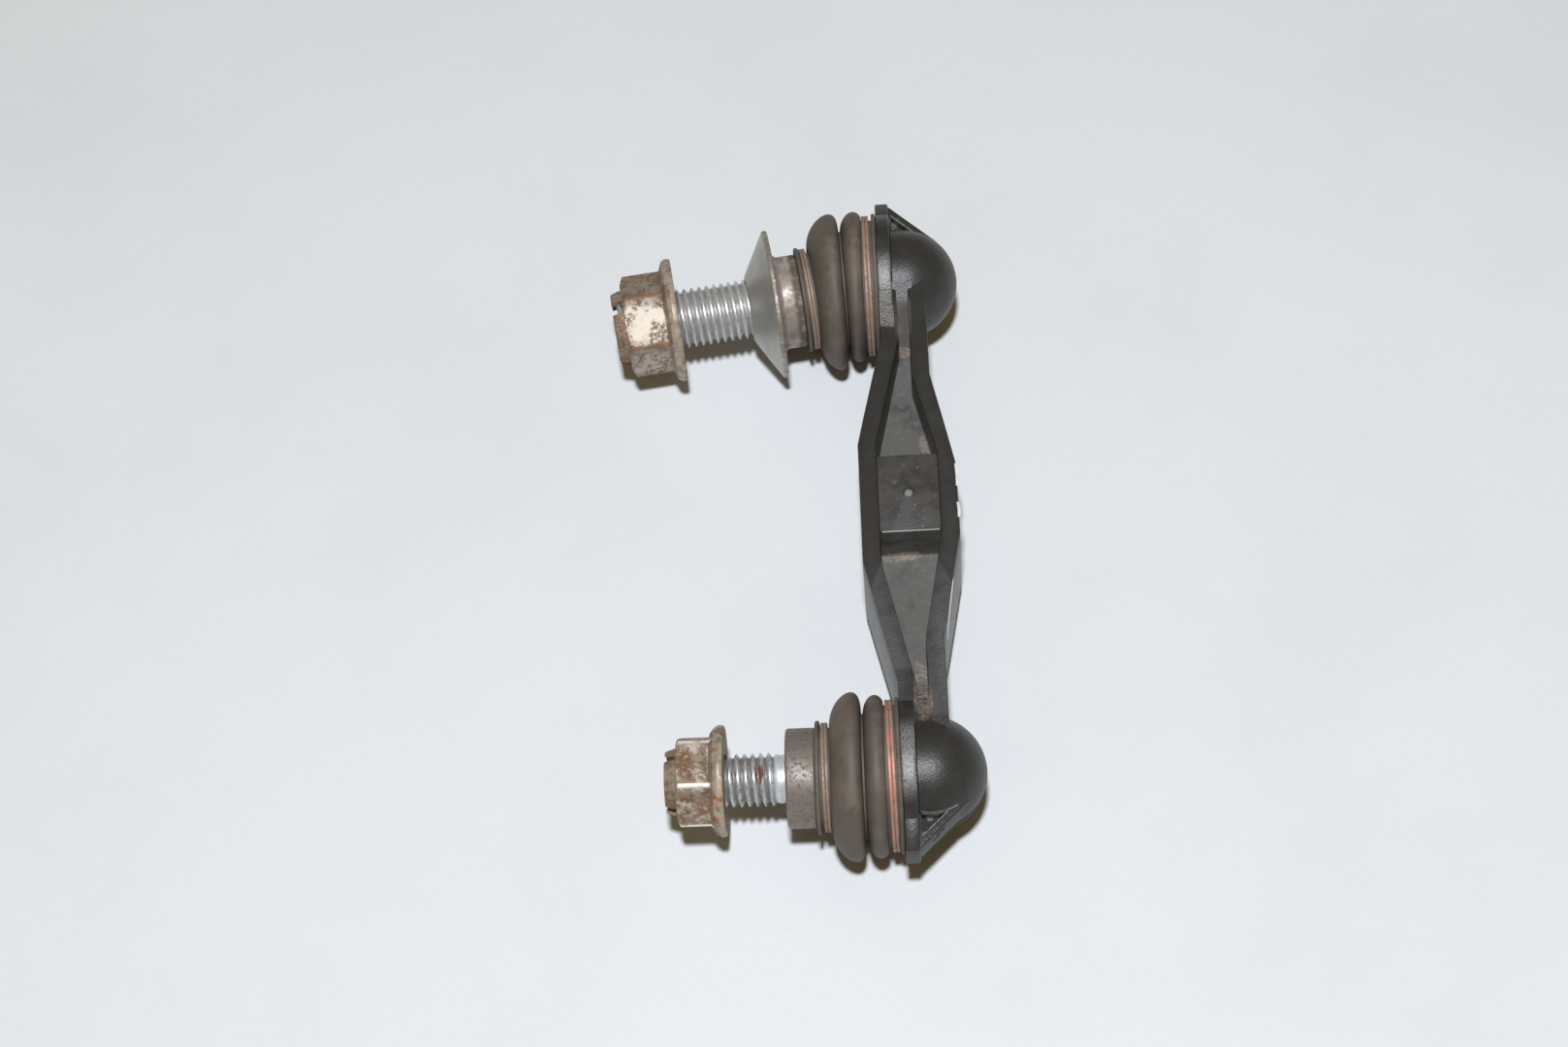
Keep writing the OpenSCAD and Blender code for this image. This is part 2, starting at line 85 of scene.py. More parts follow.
# Boots and clips
BEAD_R, BEAD_IN_R, CUFF_R, CUFF_IN_R = 13.2, 12.1, 9.25, 7.55
LIP, LIP_ROUND, BOOT_WALL = 1.35, 0.3, 1.3
BOOT_START, LARGE_CLIP, INNER_FOLD, CREASE = 5.07, 5.87, 7.97, 11.87
SMALL_CLIP, CUFF_LIP, BOOT_END, COLLAR = 18.25, 20.15, 20.95, 21.0
INNER_CREST, OUTER_CREST, CREASE_R = 15.2, 15.8, 11.7
INNER_LEAN, OUTER_LEAN = 0.7, 1.35
BLEND_MARGIN = 0.8
CLIP_TURNS, CLIP_THICK, CLIP_ROUND = 1.9, 0.98, 0.22
SEAT_GAP = 0.02

# Studs, cone and nuts
COLLAR_R, CUFF_SEAT_R, NECK_R, BALL_R = 9.35, 7.5, 4.5, 8.0
NECK_END, CUFF_SEAT = 11.45, 16.95
COLLAR_FLARE, END_CHAMFER = 0.9, 0.6
KEY_HALF_FLATS, KEY_DEPTH = 2.5, 6
PITCH, THREAD_DEPTH = 1.5, 0.61 * 1.5
CONE_R, CONE_RIM, CONE_LENGTH, CONE_BORE, CONE_NOSE = 15.0, 0.9, 5.8, 6.02, 6.52
NUT_FOOT, CROWN, BORE_GAP = 2.7, 2.2, 0.05
SLOT_LENGTH, SLOT_WIDTH, SLOT_HEIGHT = 12, 2.9, 4.0
ENDS = {
    "upper": {"thread": 6.0, "run_out": 0.2, "collar_end": 25.8, "nut": 46.0, "hex": 8.1, "flats": 9.0,
              "flange": 12.5, "crown": 7.5, "hex_turn": 30, "slot_turn": 1.5, "end": 58.0,
              "clip_turn": 2.2, "red": 0.3},
    "lower": {"thread": 5.0, "run_out": 2.6, "collar_end": 26.5, "nut": 37.9, "hex": 6.3, "flats": 8.0,
              "flange": 10.5, "crown": 6.3, "hex_turn": 0, "slot_turn": 30, "end": 48.1,
              "clip_turn": 3.9, "red": 0.9},
}

# Camera, fitted to the photo: angles in degrees, lengths in millimetres, focal length in photo pixels
AZIMUTH, ELEVATION, ROLL = 3.98, 59.88, -6.33
LOOK_AT, DISTANCE = (-25.61, 0.39, 16.0), 642.2
SENSOR, FOCAL_PIXELS, PHOTO_WIDTH = 36.0, 3400, 1617

# Light
KEY_PLACE, KEY_SIZE, KEY_POWER, KEY_COLOUR = (0.015, -0.26, 0.93), 0.07, 9.7, (0.965, 1.0, 1.055)
SKY_COLOUR, SKY_STRENGTH = (1.0, 0.76, 0.37, 1.0), 0.155
TABLE_HALF = 1.5

MARKS_LEVEL = 16.0  # height of the ball line that the heights of marks are counted from
AXIS_TURN = Matrix.Rotation(-math.pi / 2, 4, "Y")  # from upright to pointing at the nuts


def ball_centre(end):
    """Centre of a ball, in metres of the frame."""
    return Vector(JOINTS[end + "_swing"]["pos_m"])


def stud_turn(end):
    """Lean of a stud in the plane of the link at rest."""
    axis = JOINTS[end + "_spin"]["axis"]
    return math.atan2(-axis[1], -axis[0])


def body_place():
    """From millimetres about the middle of the ball line, to metres in the frame."""
    middle = (ball_centre("upper") + ball_centre("lower")) / 2
    return Matrix.Translation(middle) @ Matrix.Scale(MM, 4)


def housing_place(end):
    """From millimetres on a housing's axis (z towards the nut, x up), to metres in the frame."""
    return Matrix.Translation(ball_centre(end)) @ AXIS_TURN @ Matrix.Scale(MM, 4)


def stud_place(end):
    """The same on a stud's axis, which leans a little in its housing."""
    return (Matrix.Translation(ball_centre(end)) @ Matrix.Rotation(stud_turn(end), 4, "Z")
            @ AXIS_TURN @ Matrix.Scale(MM, 4))


def at(x, y, z):
    """A point on the body, with its height counted from the marks' level, in metres of the frame."""
    return tuple(body_place() @ Vector((x, y, z - MARKS_LEVEL)))


def on_stud(end, radius, angle, station):
    """A point on a stud, given by radius, angle and station, in metres of the frame."""
    turn = math.radians(angle)
    return tuple(stud_place(end) @ Vector((radius * math.cos(turn), radius * math.sin(turn), station)))


# Mesh helpers

def closed(bm):
    """Merges doubled corners, then turns every face outward."""
    bmesh.ops.remove_doubles(bm, verts=bm.verts, dist=MERGE)
    bmesh.ops.recalc_face_normals(bm, faces=bm.faces)
    return bm


def placed(bm, matrix):
    bmesh.ops.transform(bm, matrix=matrix, verts=bm.verts)
    return bm


def moved(bm, x=0.0, y=0.0, z=0.0):
    bmesh.ops.translate(bm, verts=bm.verts, vec=(x, y, z))
    return bm


def rotated(bm, turn):
    """Turns a mesh about the z axis."""
    bmesh.ops.rotate(bm, verts=bm.verts, matrix=Matrix.Rotation(turn, 3, "Z"))
    return bm


def rounded(outline, segments=4):
    """Rounds the corners of an outline of (radius, station, corner radius)."""
    points = []
    for i, (r, t, corner) in enumerate(outline):
        here = Vector((r, t))
        if not corner:
            points.append(here)
            continue
        back = (Vector(outline[i - 1][:2]) - here).normalized()
        on = (Vector(outline[i + 1][:2]) - here).normalized()
        half = back.angle(on) / 2
        centre = here + (back + on).normalized() * corner / math.sin(half)
        first = (here + back * corner / math.tan(half) - centre).normalized()
        last = (here + on * corner / math.tan(half) - centre).normalized()
        points += [centre + corner * first.slerp(last, k / segments) for k in range(segments + 1)]
    return points


def arc(radius, start, stop, segments):
    """Points (radius, station) of a ball about the origin; angles from the equator, in degrees."""
    angles = [math.radians(start + (stop - start) * k / segments) for k in range(segments + 1)]
    return [Vector((radius * math.cos(a), radius * math.sin(a))) for a in angles]


def spun(profile, **motion):
    """Spins a profile of (radius, station) about the z axis."""
    bm = bmesh.new()
    row = [bm.verts.new((max(p[0], 0.0), 0.0, p[1])) for p in profile]
    edges = [bm.edges.new(pair) for pair in zip(row, row[1:])]
    bmesh.ops.spin(bm, geom=row + edges, axis=(0, 0, 1), cent=(0, 0, 0), **motion)
    return bm


def turned(profile, steps=96):
    """Spins a profile once round and closes it."""
    return closed(spun(profile, angle=math.tau, steps=steps, use_merge=True))


def ring_of(profile, steps=96):
    """Spins a closed profile, so that the piece has a bore."""
    return turned(list(profile) + [profile[0]], steps)


def wound(profile, turns, pitch, steps):
    """Winds a closed profile of (radius, station) into a coil and caps its two ends."""
    bm = bmesh.new()
    face = bm.faces.new([bm.verts.new((p[0], 0.0, p[1])) for p in profile])
    bmesh.ops.spin(bm, geom=[face], axis=(0, 0, 1), cent=(0, 0, 0), dvec=(0, 0, pitch / steps),
                   angle=math.tau * turns, steps=round(turns * steps))
    return capped(bm)


def capped(bm):
    """Closes open ends and turns every face outward."""
    bmesh.ops.holes_fill(bm, edges=[edge for edge in bm.edges if edge.is_boundary], sides=0)
    bmesh.ops.recalc_face_normals(bm, faces=bm.faces)
    return bm


def drawn(faces):
    """Flat faces from lists of (x, y) corners; corners in one place are shared."""
    bm = bmesh.new()
    for corners in faces:
        bm.faces.new([bm.verts.new((x, y, 0.0)) for x, y in corners])
    closed(bm)
    if sum(face.normal.z for face in bm.faces) < 0:
        bmesh.ops.reverse_faces(bm, faces=bm.faces)
    return bm


def raised(bm, faces, height):
    """Extrudes faces up by a height."""
    made = bmesh.ops.extrude_face_region(bm, geom=faces)["geom"]
    verts = [g for g in made if isinstance(g, bmesh.types.BMVert)]
    bmesh.ops.translate(bm, verts=verts, vec=(0, 0, height))
    bmesh.ops.delete(bm, geom=[face for face in faces if face.is_valid], context="FACES")


def thickened(outline, height):
    """A closed slab with an outline of (x, y), from zero up to a height."""
    bm = drawn([outline])
    raised(bm, list(bm.faces), height)
    bmesh.ops.holes_fill(bm, edges=bm.edges, sides=0)
    return closed(bm)


def rod(radius, length, segments):
    bm = bmesh.new()
    bmesh.ops.create_cone(bm, cap_ends=True, segments=segments, radius1=radius, radius2=radius, depth=length)
    return bm


def bevelled(bm, edges, width, segments, clamp=False):
    bmesh.ops.bevel(bm, geom=edges, offset=width, offset_type="OFFSET", affect="EDGES", segments=segments,
                    profile=0.5, material=-1, clamp_overlap=clamp)
    return bm


def softened(bm, width, segments=2, sharper_than=25):
    """Rounds every edge that is sharper than an angle in degrees."""
    bmesh.ops.dissolve_limit(bm, angle_limit=0.002, verts=bm.verts, edges=bm.edges)
    limit = math.radians(sharper_than)
    sharp = [e for e in bm.edges if e.is_manifold and e.calc_face_angle() > limit]
    return bevelled(bm, sharp, width, segments, clamp=True)


def as_mesh(bm, name="carving"):
    mesh = bpy.data.meshes.new(name)
    bm.to_mesh(mesh)
    bm.free()
    return mesh


def linked(name, data):
    """A new object in the scene."""
    made = bpy.data.objects.new(name, data)
    scene.collection.objects.link(made)
    return made


def together(parts):
    """Puts meshes that stand apart into one."""
    bm = bmesh.new()
    for part in parts:
        mesh = as_mesh(part)
        bm.from_mesh(mesh)
        bpy.data.meshes.remove(mesh)
    return bm


def carved(bm, tool, operation):
    """Joins, cuts or crosses two closed meshes exactly."""
    pair = [linked("carving", as_mesh(source)) for source in (bm, tool)]
    step = pair[0].modifiers.new("carving", "BOOLEAN")
    step.object = pair[1]
    step.operation = operation
    step.solver = "EXACT"
    result = bmesh.new()
    result.from_object(pair[0], bpy.context.evaluated_depsgraph_get())
    for holder in pair:
        mesh = holder.data
        bpy.data.objects.remove(holder)
        bpy.data.meshes.remove(mesh)
    return closed(result)


def piece(name, bm, place, material, body, nodes, smooth=35):
    """Makes a finished piece, which rides on a body and stands for CAD nodes."""
    mesh = as_mesh(placed(bm, place), name)
    mesh.shade_smooth()
    mesh.set_sharp_from_angle(angle=math.radians(smooth))
    mesh.materials.append(material)
    made = linked(name, mesh)
    if body:
        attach(made, body)
    if nodes:
        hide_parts(*nodes)
    return made


# Finishes

def feed(tree, value, socket):
    """Links a source to a socket, or sets the socket to a constant."""
    if isinstance(value, bpy.types.NodeSocket):
        tree.links.new(value, socket)
    else:
        socket.default_value = value


def node(tree, kind, *first, **named):
    """A shader node: its first inputs are given in order, settings and other inputs by name."""
    made = tree.nodes.new("ShaderNode" + kind)
    for key, value in named.items():
        if hasattr(made, key):
            setattr(made, key, value)
        else:
            feed(tree, value, made.inputs[key.replace("_", " ")])
    for value, socket in zip(first, made.inputs):
        feed(tree, value, socket)
    return made


def calc(tree, operation, *values):
    return node(tree, "Math", *values, operation=operation).outputs[0]


def vector_calc(tree, operation, *values):
    made = node(tree, "VectorMath", *values, operation=operation)
    return made.outputs["Value" if operation == "LENGTH" else "Vector"]


def object_point(tree):
    return node(tree, "TexCoord").outputs["Object"]


def noise(tree, point, scale, detail, rough=0.5):
    return node(tree, "TexNoise", Vector=point, Scale=scale, Detail=detail, Roughness=rough).outputs["Fac"]


def smooth_step(tree, value, low, high):
    return node(tree, "MapRange", interpolation_type="SMOOTHSTEP", Value=value, From_Min=low,
                From_Max=high).outputs["Result"]


def group(name, result, **inputs):
    """A node group with one result, whose inputs are numbers or vectors as their defaults are."""
    tree = bpy.data.node_groups.new(name, "ShaderNodeTree")
    for label, default in inputs.items():
        kind = "NodeSocketVector" if isinstance(default, tuple) else "NodeSocketFloat"
        tree.interface.new_socket(name=label, in_out="INPUT", socket_type=kind).default_value = default
    tree.interface.new_socket(name=result, in_out="OUTPUT", socket_type="NodeSocketFloat")
    return tree, tree.nodes.new("NodeGroupInput").outputs, tree.nodes.new("NodeGroupOutput").inputs[result]


def blotch_group():
    """Cloudy mask: broken noise between two levels."""
    tree, given, mask = group("blotches", "Mask", Scale=300.0, Low=0.5, High=0.6, Offset=(0, 0, 0),
                              Detail=4.0)
    point = vector_calc(tree, "ADD", object_point(tree), given["Offset"])
    cloud = noise(tree, point, given["Scale"], given["Detail"], 0.62)
    feed(tree, smooth_step(tree, cloud, given["Low"], given["High"]), mask)
    return tree


def spot_group():
    """Ragged round patch about a point of the frame, in metres."""
    tree, given, mask = group("ragged_spot", "Mask", Centre=(0, 0, 0), Stretch=(1, 1, 1), Radius=0.003,
            Ragged=0.5, Scale=600.0)
    point = object_point(tree)
    away = vector_calc(tree, "SUBTRACT", point, given["Centre"])
    length = vector_calc(tree, "LENGTH", vector_calc(tree, "DIVIDE", away, given["Stretch"]))
    share = calc(tree, "DIVIDE", length, given["Radius"])
    shake = calc(tree, "SUBTRACT", noise(tree, point, given["Scale"], 3.0), 0.5)
    shaken = calc(tree, "MULTIPLY_ADD", shake, given["Ragged"], share)
    feed(tree, smooth_step(tree, shaken, 1.25, 0.85), mask)
    return tree


def grain_group():
    """Fine surface grain: a height of two noises."""
    tree, given, height = group("grain", "Height", Fine=4000.0, Coarse=900.0, Share=0.4)
    point = object_point(tree)
    mixed = node(tree, "Mix", data_type="FLOAT", Factor=given["Share"],
                 A=noise(tree, point, given["Fine"], 2.0), B=noise(tree, point, given["Coarse"], 3.0))
    feed(tree, mixed.outputs["Result"], height)
    return tree


BLOTCH, SPOT, GRAIN = blotch_group(), spot_group(), grain_group()


def linear(r, g, b):
    """A colour as a screen shows it (0 to 255), as the linear values that a shader takes."""
    return tuple((c / 3294.6 if c < 10.3 else ((c / 255 + 0.055) / 1.055) ** 2.4) for c in (r, g, b)) + (1.0,)


class Finish:
    """A material whose colour is laid on in coats, each through a mask."""

    def __init__(self, name, colour, rough, metal=0.0):
        self.material = bpy.data.materials.new(name)
        self.material.use_nodes = True
        self.tree = self.material.node_tree
        self.shader = self.tree.nodes["Principled BSDF"]
        self.levels = {"Base Color": linear(*colour), "Roughness": rough, "Metallic": metal}

    def use(self, tree, **values):
        made = self.tree.nodes.new("ShaderNodeGroup")
        made.node_tree = tree
        for key, value in values.items():
            made.inputs[key].default_value = value
        return made.outputs[0]

    def blotches(self, scale, low, high, offset=(0, 0, 0), detail=4.0):
        return self.use(BLOTCH, Scale=scale, Low=low, High=high, Offset=offset, Detail=detail)

    def spot(self, centre, radius, ragged, scale, stretch=(1, 1, 1)):
        """Mask of a patch about a point in metres; the radius is in millimetres."""
        return self.use(SPOT, Centre=centre, Radius=radius * MM, Stretch=stretch, Ragged=ragged, Scale=scale)

    def times(self, mask, *others):
        for other in others:
            mask = calc(self.tree, "MULTIPLY", mask, other)
        return mask

    def within(self, value, low, high, fade):
        """Mask of the points where a value lies between two levels."""
        return self.times(smooth_step(self.tree, value, low - fade, low + fade),
                          smooth_step(self.tree, value, high + fade, high - fade))

    def millimetres(self, place):
        """The point in a piece's own millimetres, split in x, y and z, with its radius and angle about z."""
        inverse = place.inverted()
        point = node(self.tree, "Mapping", object_point(self.tree), inverse.translation,
                     inverse.to_euler("XYZ"), (1 / MM, 1 / MM, 1 / MM), vector_type="POINT").outputs["Vector"]
        split = node(self.tree, "SeparateXYZ", point).outputs
        flat = node(self.tree, "CombineXYZ", split["X"], split["Y"]).outputs[0]
        return {"x": split["X"], "y": split["Y"], "z": split["Z"], "point": point,
                "radius": vector_calc(self.tree, "LENGTH", flat),
                "angle": calc(self.tree, "ARCTAN2", split["Y"], split["X"])}

    def box(self, point, x=None, y=None, z=None, fade=0.1):
        """Mask of a box in a piece's own millimetres."""
        return self.times(*[self.within(point[axis], span[0], span[1], fade)
                            for axis, span in (("x", x), ("y", y), ("z", z)) if span])

    def sum(self, a, b_factor, b, shift=0.0):
        """a + b_factor * b + shift"""
        return calc(self.tree, "ADD", calc(self.tree, "MULTIPLY_ADD", b, b_factor, a), shift)

    def away(self, point):
        """Distance from the nearer ball centre towards the middle of the link, in millimetres."""
        return calc(self.tree, "SUBTRACT", HALF_SPAN, calc(self.tree, "ABSOLUTE", point["y"]))

    def from_ball(self, point):
        """Distance from the upright line through the nearer ball centre."""
        flat = node(self.tree, "CombineXYZ", point["x"], self.away(point))
        return vector_calc(self.tree, "LENGTH", flat.outputs[0])

    def beside(self, point, slope, start, drop):
        """How far a point lies outside a line across the tab, which runs through a start moved by a drop."""
        outward = self.sum(self.away(point), slope, point["x"], start.y + drop - slope * start.x)
        return calc(self.tree, "MULTIPLY", outward, -math.cos(math.atan(slope)))

    def corners(self, point, turn, low, high):
        """Mask of the six corners of a hexagon, of which one stands at an angle in degrees."""
        six = calc(self.tree, "MULTIPLY_ADD", point["angle"], 6.0, -6.0 * math.radians(turn))
        return smooth_step(self.tree, calc(self.tree, "COSINE", six), low, high)

    def coat(self, colour, mask, strength=1.0, rough=None, metal=None):
        """Lays a coat of colour, and of gloss where given, through a mask."""
        if strength != 1.0:
            mask = self.times(mask, strength)
        for label, kind, level in (("Base Color", "RGBA", linear(*colour)), ("Roughness", "FLOAT", rough),
                ("Metallic", "FLOAT", metal)):
            if level is not None:
                mix = node(self.tree, "Mix", data_type=kind, Factor=mask, A=self.levels[label], B=level)
                self.levels[label] = mix.outputs["Result"]

    def stain(self, colour, cloud, strength, *masks, rough=None, metal=None):
        """Lays a coat in blotches, given by scale, low, high and offset, inside any masks."""
        self.coat(colour, self.times(*masks, self.blotches(*cloud)), strength, rough, metal)

    def grain(self, fine, coarse, share, depth, strength):
        """Roughens the surface; the depth is in millimetres."""
        height = self.use(GRAIN, Fine=fine, Coarse=coarse, Share=share)
        bump = node(self.tree, "Bump", Strength=strength, Distance=depth * MM, Height=height)
        feed(self.tree, bump.outputs["Normal"], self.shader.inputs["Normal"])

    def done(self):
        for label, level in self.levels.items():
            feed(self.tree, level, self.shader.inputs[label])
        return self.material


def flange_bands_and_rim_highlights(f, point):
    """Lighter grey on the flanges' edges up to the slanting creases, and painted highlights on the rims of
    the plates.
    """
    band_z, past = (7.0, 11), -60
    for x, y, slope, shift in (((-10.4, -0.4), (-37.5, 0), -2.884, -5.188),
            ((0.2, 8.2), (-47, 0), 2.305, 6.358)):
        # A lighter grey on the flange tops, between the waist and the slanting creases.
        past_crease = f.within(f.sum(point["y"], slope, point["x"], shift), past, 0.0, 0.5)
        flange_band = f.times(f.box(point, x, y, band_z, 0.8), past_crease)
        f.stain((74, 74, 75), (300, 0.15, 0.6), 0.7, flange_band, rough=0.5)
    for end, y, z in (("upper", (38.5, 52.5), (3.5, 15)), ("lower", (-63.5, -51.5), (9.5, 15))):
        # Painted highlight: a speckled light grey on the plate rims, only in the zones where the lamp's
        # highlight falls.
        axis = f.millimetres(housing_place(end))
        rim = f.times(f.within(axis["radius"], PLATE_R - 0.35, 18.5, 0.15),
                      f.within(axis["z"], PLATE_BACK - 0.1, PLATE_FACE + 0.1, 0.1))
        f.stain((138, 136, 134), (2300, 0.3, 0.55, (0.2, 0.5, 0)), 0.85, rim, f.box(point, None, y, z, 2.5),
                rough=0.42)


def block_wear(f, point):
    """Faces and ends of the centre block."""
    x = (STUD_IN + 0.1, DOME_IN - 0.1)
    for z in ((10.0, 10.5), (-10.5, -10.0)):
        f.stain((76, 74, 73), (330, 0.2, 0.7), 0.7, f.box(point, x, (-8.4, 8.4), z), rough=0.6)
        f.stain((122, 119, 115), (620, 0.6, 0.72, (0.02, 0, 0)), 0.45, f.box(point, x, (-8.0, 8.0), z),
                rough=0.6)
    for y in ((-9.3, -8.4), (8.4, 9.3)):
        f.stain((84, 81, 76), (260, 0.3, 0.6, (0.3, 0, 0)), 0.6, f.box(point, x, y, (1.6, 9.8)), rough=0.75)


def pocket_dust_and_wall_reflection(f, point):
    """Dust on the web, dust with a painted reflection of the pale table on the outer walls, in stretches that
    follow the taper, and dust on the ramps.
    """
    away = f.away(point)
    for near, far, left, right in ((38.9, 56, -8.7, 6.0), (28.0, 38.9, -6.45, 3.85),
                                   (14.4, 28.0, -4.65, 2.6)):
        zone = f.within(away, near, far, 0.05)
        between = f.times(zone, f.within(point["x"], left, right, 0.1))
        floor = f.times(between, f.within(point["z"], -1.75, 1.75, 0.2))
        f.stain((92, 91, 88), (160, 0.1, 0.55, (0.2, 0.1, 0)), 0.95, floor, rough=0.8)
        f.stain((112, 108, 101), (700, 0.48, 0.7, (0.1, 0.1, 0)), 0.5, floor, rough=0.85)
        # Dust with a painted reflection of the pale table on the flanges' walls.
        wall_dust_and_reflection = f.times(f.sum(zone, -1.0, between), f.box(point, None, (-36, 36), (-9.0, 7.4), 2.0))
        f.stain((108, 106, 100), (200, 0.2, 0.6, (0.4, 0.4, 0)), 0.8, wall_dust_and_reflection, rough=0.42)
    ramp_face = f.times(f.box(point, (-2.0, 1.2), None, (1.2, 9.0), 0.2), f.within(away, 9.5, 18.6, 1.5))
    f.stain((80, 75, 71), (300, 0.2, 0.6, (0.6, 0.1, 0)), 0.85, ramp_face, rough=0.9)


def soil_and_marks(f, point):
    """Dry soil in the corners, a painted highlight on the block's edge and the dot in the moulding mark."""
    soil = f.blotches(1500, 0.3, 0.72, (0.7, 0.3, 0.2), 6.0)
    for spot, radius, stretch in (((-3.6, -9.4, 17.5), 1.4, (2.7, 0.6, 0.9)),
            ((-1.6, -9.3, 17.9), 1.1, (2.0, 0.6, 0.9)),
            ((2.9, 16.0, 17.4), 1.6, (0.8, 1.5, 1)),
            ((2.0, 11.4, 17.4), 1.5, (1.3, 0.8, 1)),
            ((-0.5, 37.4, 17.6), 1.2, (1.2, 0.9, 1)),
            ((-1.2, 67.6, 17.9), 2.0, (0.9, 1.6, 1)),
            ((-0.2, -38.0, 18.4), 2.4, (0.8, 2.4, 1)),
            ((-0.4, -44.0, 22.0), 2.6, (0.7, 1.8, 1.6))):
        patch = f.spot(at(*spot), radius, 1.0, 800, stretch)
        f.coat((146, 133, 119), f.times(patch, soil), 0.8, rough=0.85)
    # Painted highlight along one edge of the centre block.
    block_edge_highlight = f.box(point, (-6.5, 4.4), (-8.62, -8.36), (9.95, 10.3), 0.06)
    f.coat((176, 174, 170), block_edge_highlight, 0.8, rough=0.35)
    f.coat((138, 136, 133), f.spot(at(MARK_X, 0.0, 26.0), 0.7, 0.8, 1500), 0.75, rough=0.5)


def tab_highlights_and_shade(f, point):
    """Painted highlights on the tabs' edges and along the parting line, painted shade in the tabs' hollows
    and on the underside of the housings' outer halves.
    """
    tip, _, slope = tab_corners()
    rim_edge = f.beside(point, slope, tip, -TAB_RIM / math.cos(math.atan(slope)))
    # Painted highlight along the rim edge of the tab's pocket.
    inner_edge_highlight = f.times(f.within(rim_edge, -0.06, 0.14, 0.05),
                         f.box(point, (-1.9, 4.2), None, (TAB_ABOVE - 0.5, TAB_ABOVE + 0.2), 0.06))
    f.stain((158, 156, 152), (900, 0.3, 0.5), 0.8, inner_edge_highlight, rough=0.4)
    away = f.away(point)
    hollow = f.times(f.box(point, (-2.0, 2.2), None, (1.2, 3.4), 0.2), f.within(away, -14.4, -9.6, 0.2))
    # Painted shade in the tab's hollow, with lighter blotches laid over it.
    f.coat((20, 20, 20), hollow, 0.8, rough=0.75)
    f.stain((120, 118, 114), (520, 0.54, 0.62, (0.1, 0.4, 0.2)), 0.6, hollow, rough=0.5)
    # Painted highlight along the foot edge of the pocket, where it meets the dome.
    foot_edge_highlight = f.times(f.within(f.from_ball(point), POCKET_FOOT_R - 0.06, POCKET_FOOT_R + 0.12, 0.05),
                        f.within(away, -10.2, -7.6, 0.1))
    foot_edge_highlight = f.times(foot_edge_highlight, f.box(point, (-1.9, 5.0), None, (TAB_ABOVE - 0.7, TAB_ABOVE + 0.9)))
    f.stain((150, 148, 144), (900, 0.3, 0.5, (0.2, 0, 0)), 0.7, foot_edge_highlight, rough=0.4)
    f.stain((120, 118, 115), (2600, 0.68, 0.74, (0.3, 0, 0.1)), 0.4, rough=0.5)
    outer_half = f.times(f.within(away, -20, 2, 1.0), f.within(point["x"], -2.2, 12, 0.2))
    # Painted shade on the underside of the housings' outer halves.
    f.coat((26, 26, 26), f.times(outer_half, f.within(point["z"], -16, -0.2, 0.2)), 0.85, rough=0.8)
    # Painted highlight: a thin light line along the parting line.
    parting_line_highlight = f.times(outer_half, f.within(point["z"], -0.12, 0.04, 0.05))
    f.stain((132, 130, 127), (500, 0.2, 0.5, (0.6, 0.6, 0)), 0.6, parting_line_highlight, rough=0.45)


def moulded_plastic():
    f = Finish("moulded_plastic", (45, 44, 43), rough=0.42)
    point = f.millimetres(body_place())
    f.stain((56, 55, 54), (240, 0.42, 0.72), 0.6, rough=0.42)
    flange_bands_and_rim_highlights(f, point)
    block_wear(f, point)
    pocket_dust_and_wall_reflection(f, point)
    soil_and_marks(f, point)
    tab_highlights_and_shade(f, point)
    f.grain(2700, 1300, 0.3, 0.12, 0.85)
    return f.done()


def boot_rubber():
    f = Finish("boot_rubber", (88, 80, 72), rough=0.62)
    f.stain((108, 97, 86), (150, 0.42, 0.7), 0.7, rough=0.72)
    f.stain((68, 62, 57), (380, 0.52, 0.7, (0.4, 0.1, 0)), 0.5)
    f.stain((134, 122, 108), (1500, 0.62, 0.72, (0.1, 0.7, 0)), 0.4, rough=0.8)
    f.stain((156, 145, 132), (3200, 0.7, 0.75, (0.5, 0.2, 0)), 0.5, rough=0.8)
    f.grain(3400, 900, 0.4, 0.09, 0.6)
    return f.done()


def wound_wire(name, place, middle=None, red=0.0):
    """Dull wire with brown rust, and a streak of red where the paint of a mark has run."""
    f = Finish(name, (150, 131, 116), rough=0.58, metal=0.25)
    f.stain((128, 106, 88), (420, 0.45, 0.62), 0.6, rough=0.7, metal=0.15)
    f.stain((176, 157, 140), (900, 0.56, 0.66, (0.3, 0.2, 0.5)), 0.6, rough=0.5)
    if red:
        streak = f.within(f.millimetres(place)["z"], middle - 0.5, middle + 0.6, 0.25)
        f.stain((190, 126, 114), (200, 0.42, 0.62, (0.9, 0.2, 0)), red, streak, rough=0.5, metal=0.2)
    f.grain(4200, 1200, 0.4, 0.05, 0.5)
    return f.done()


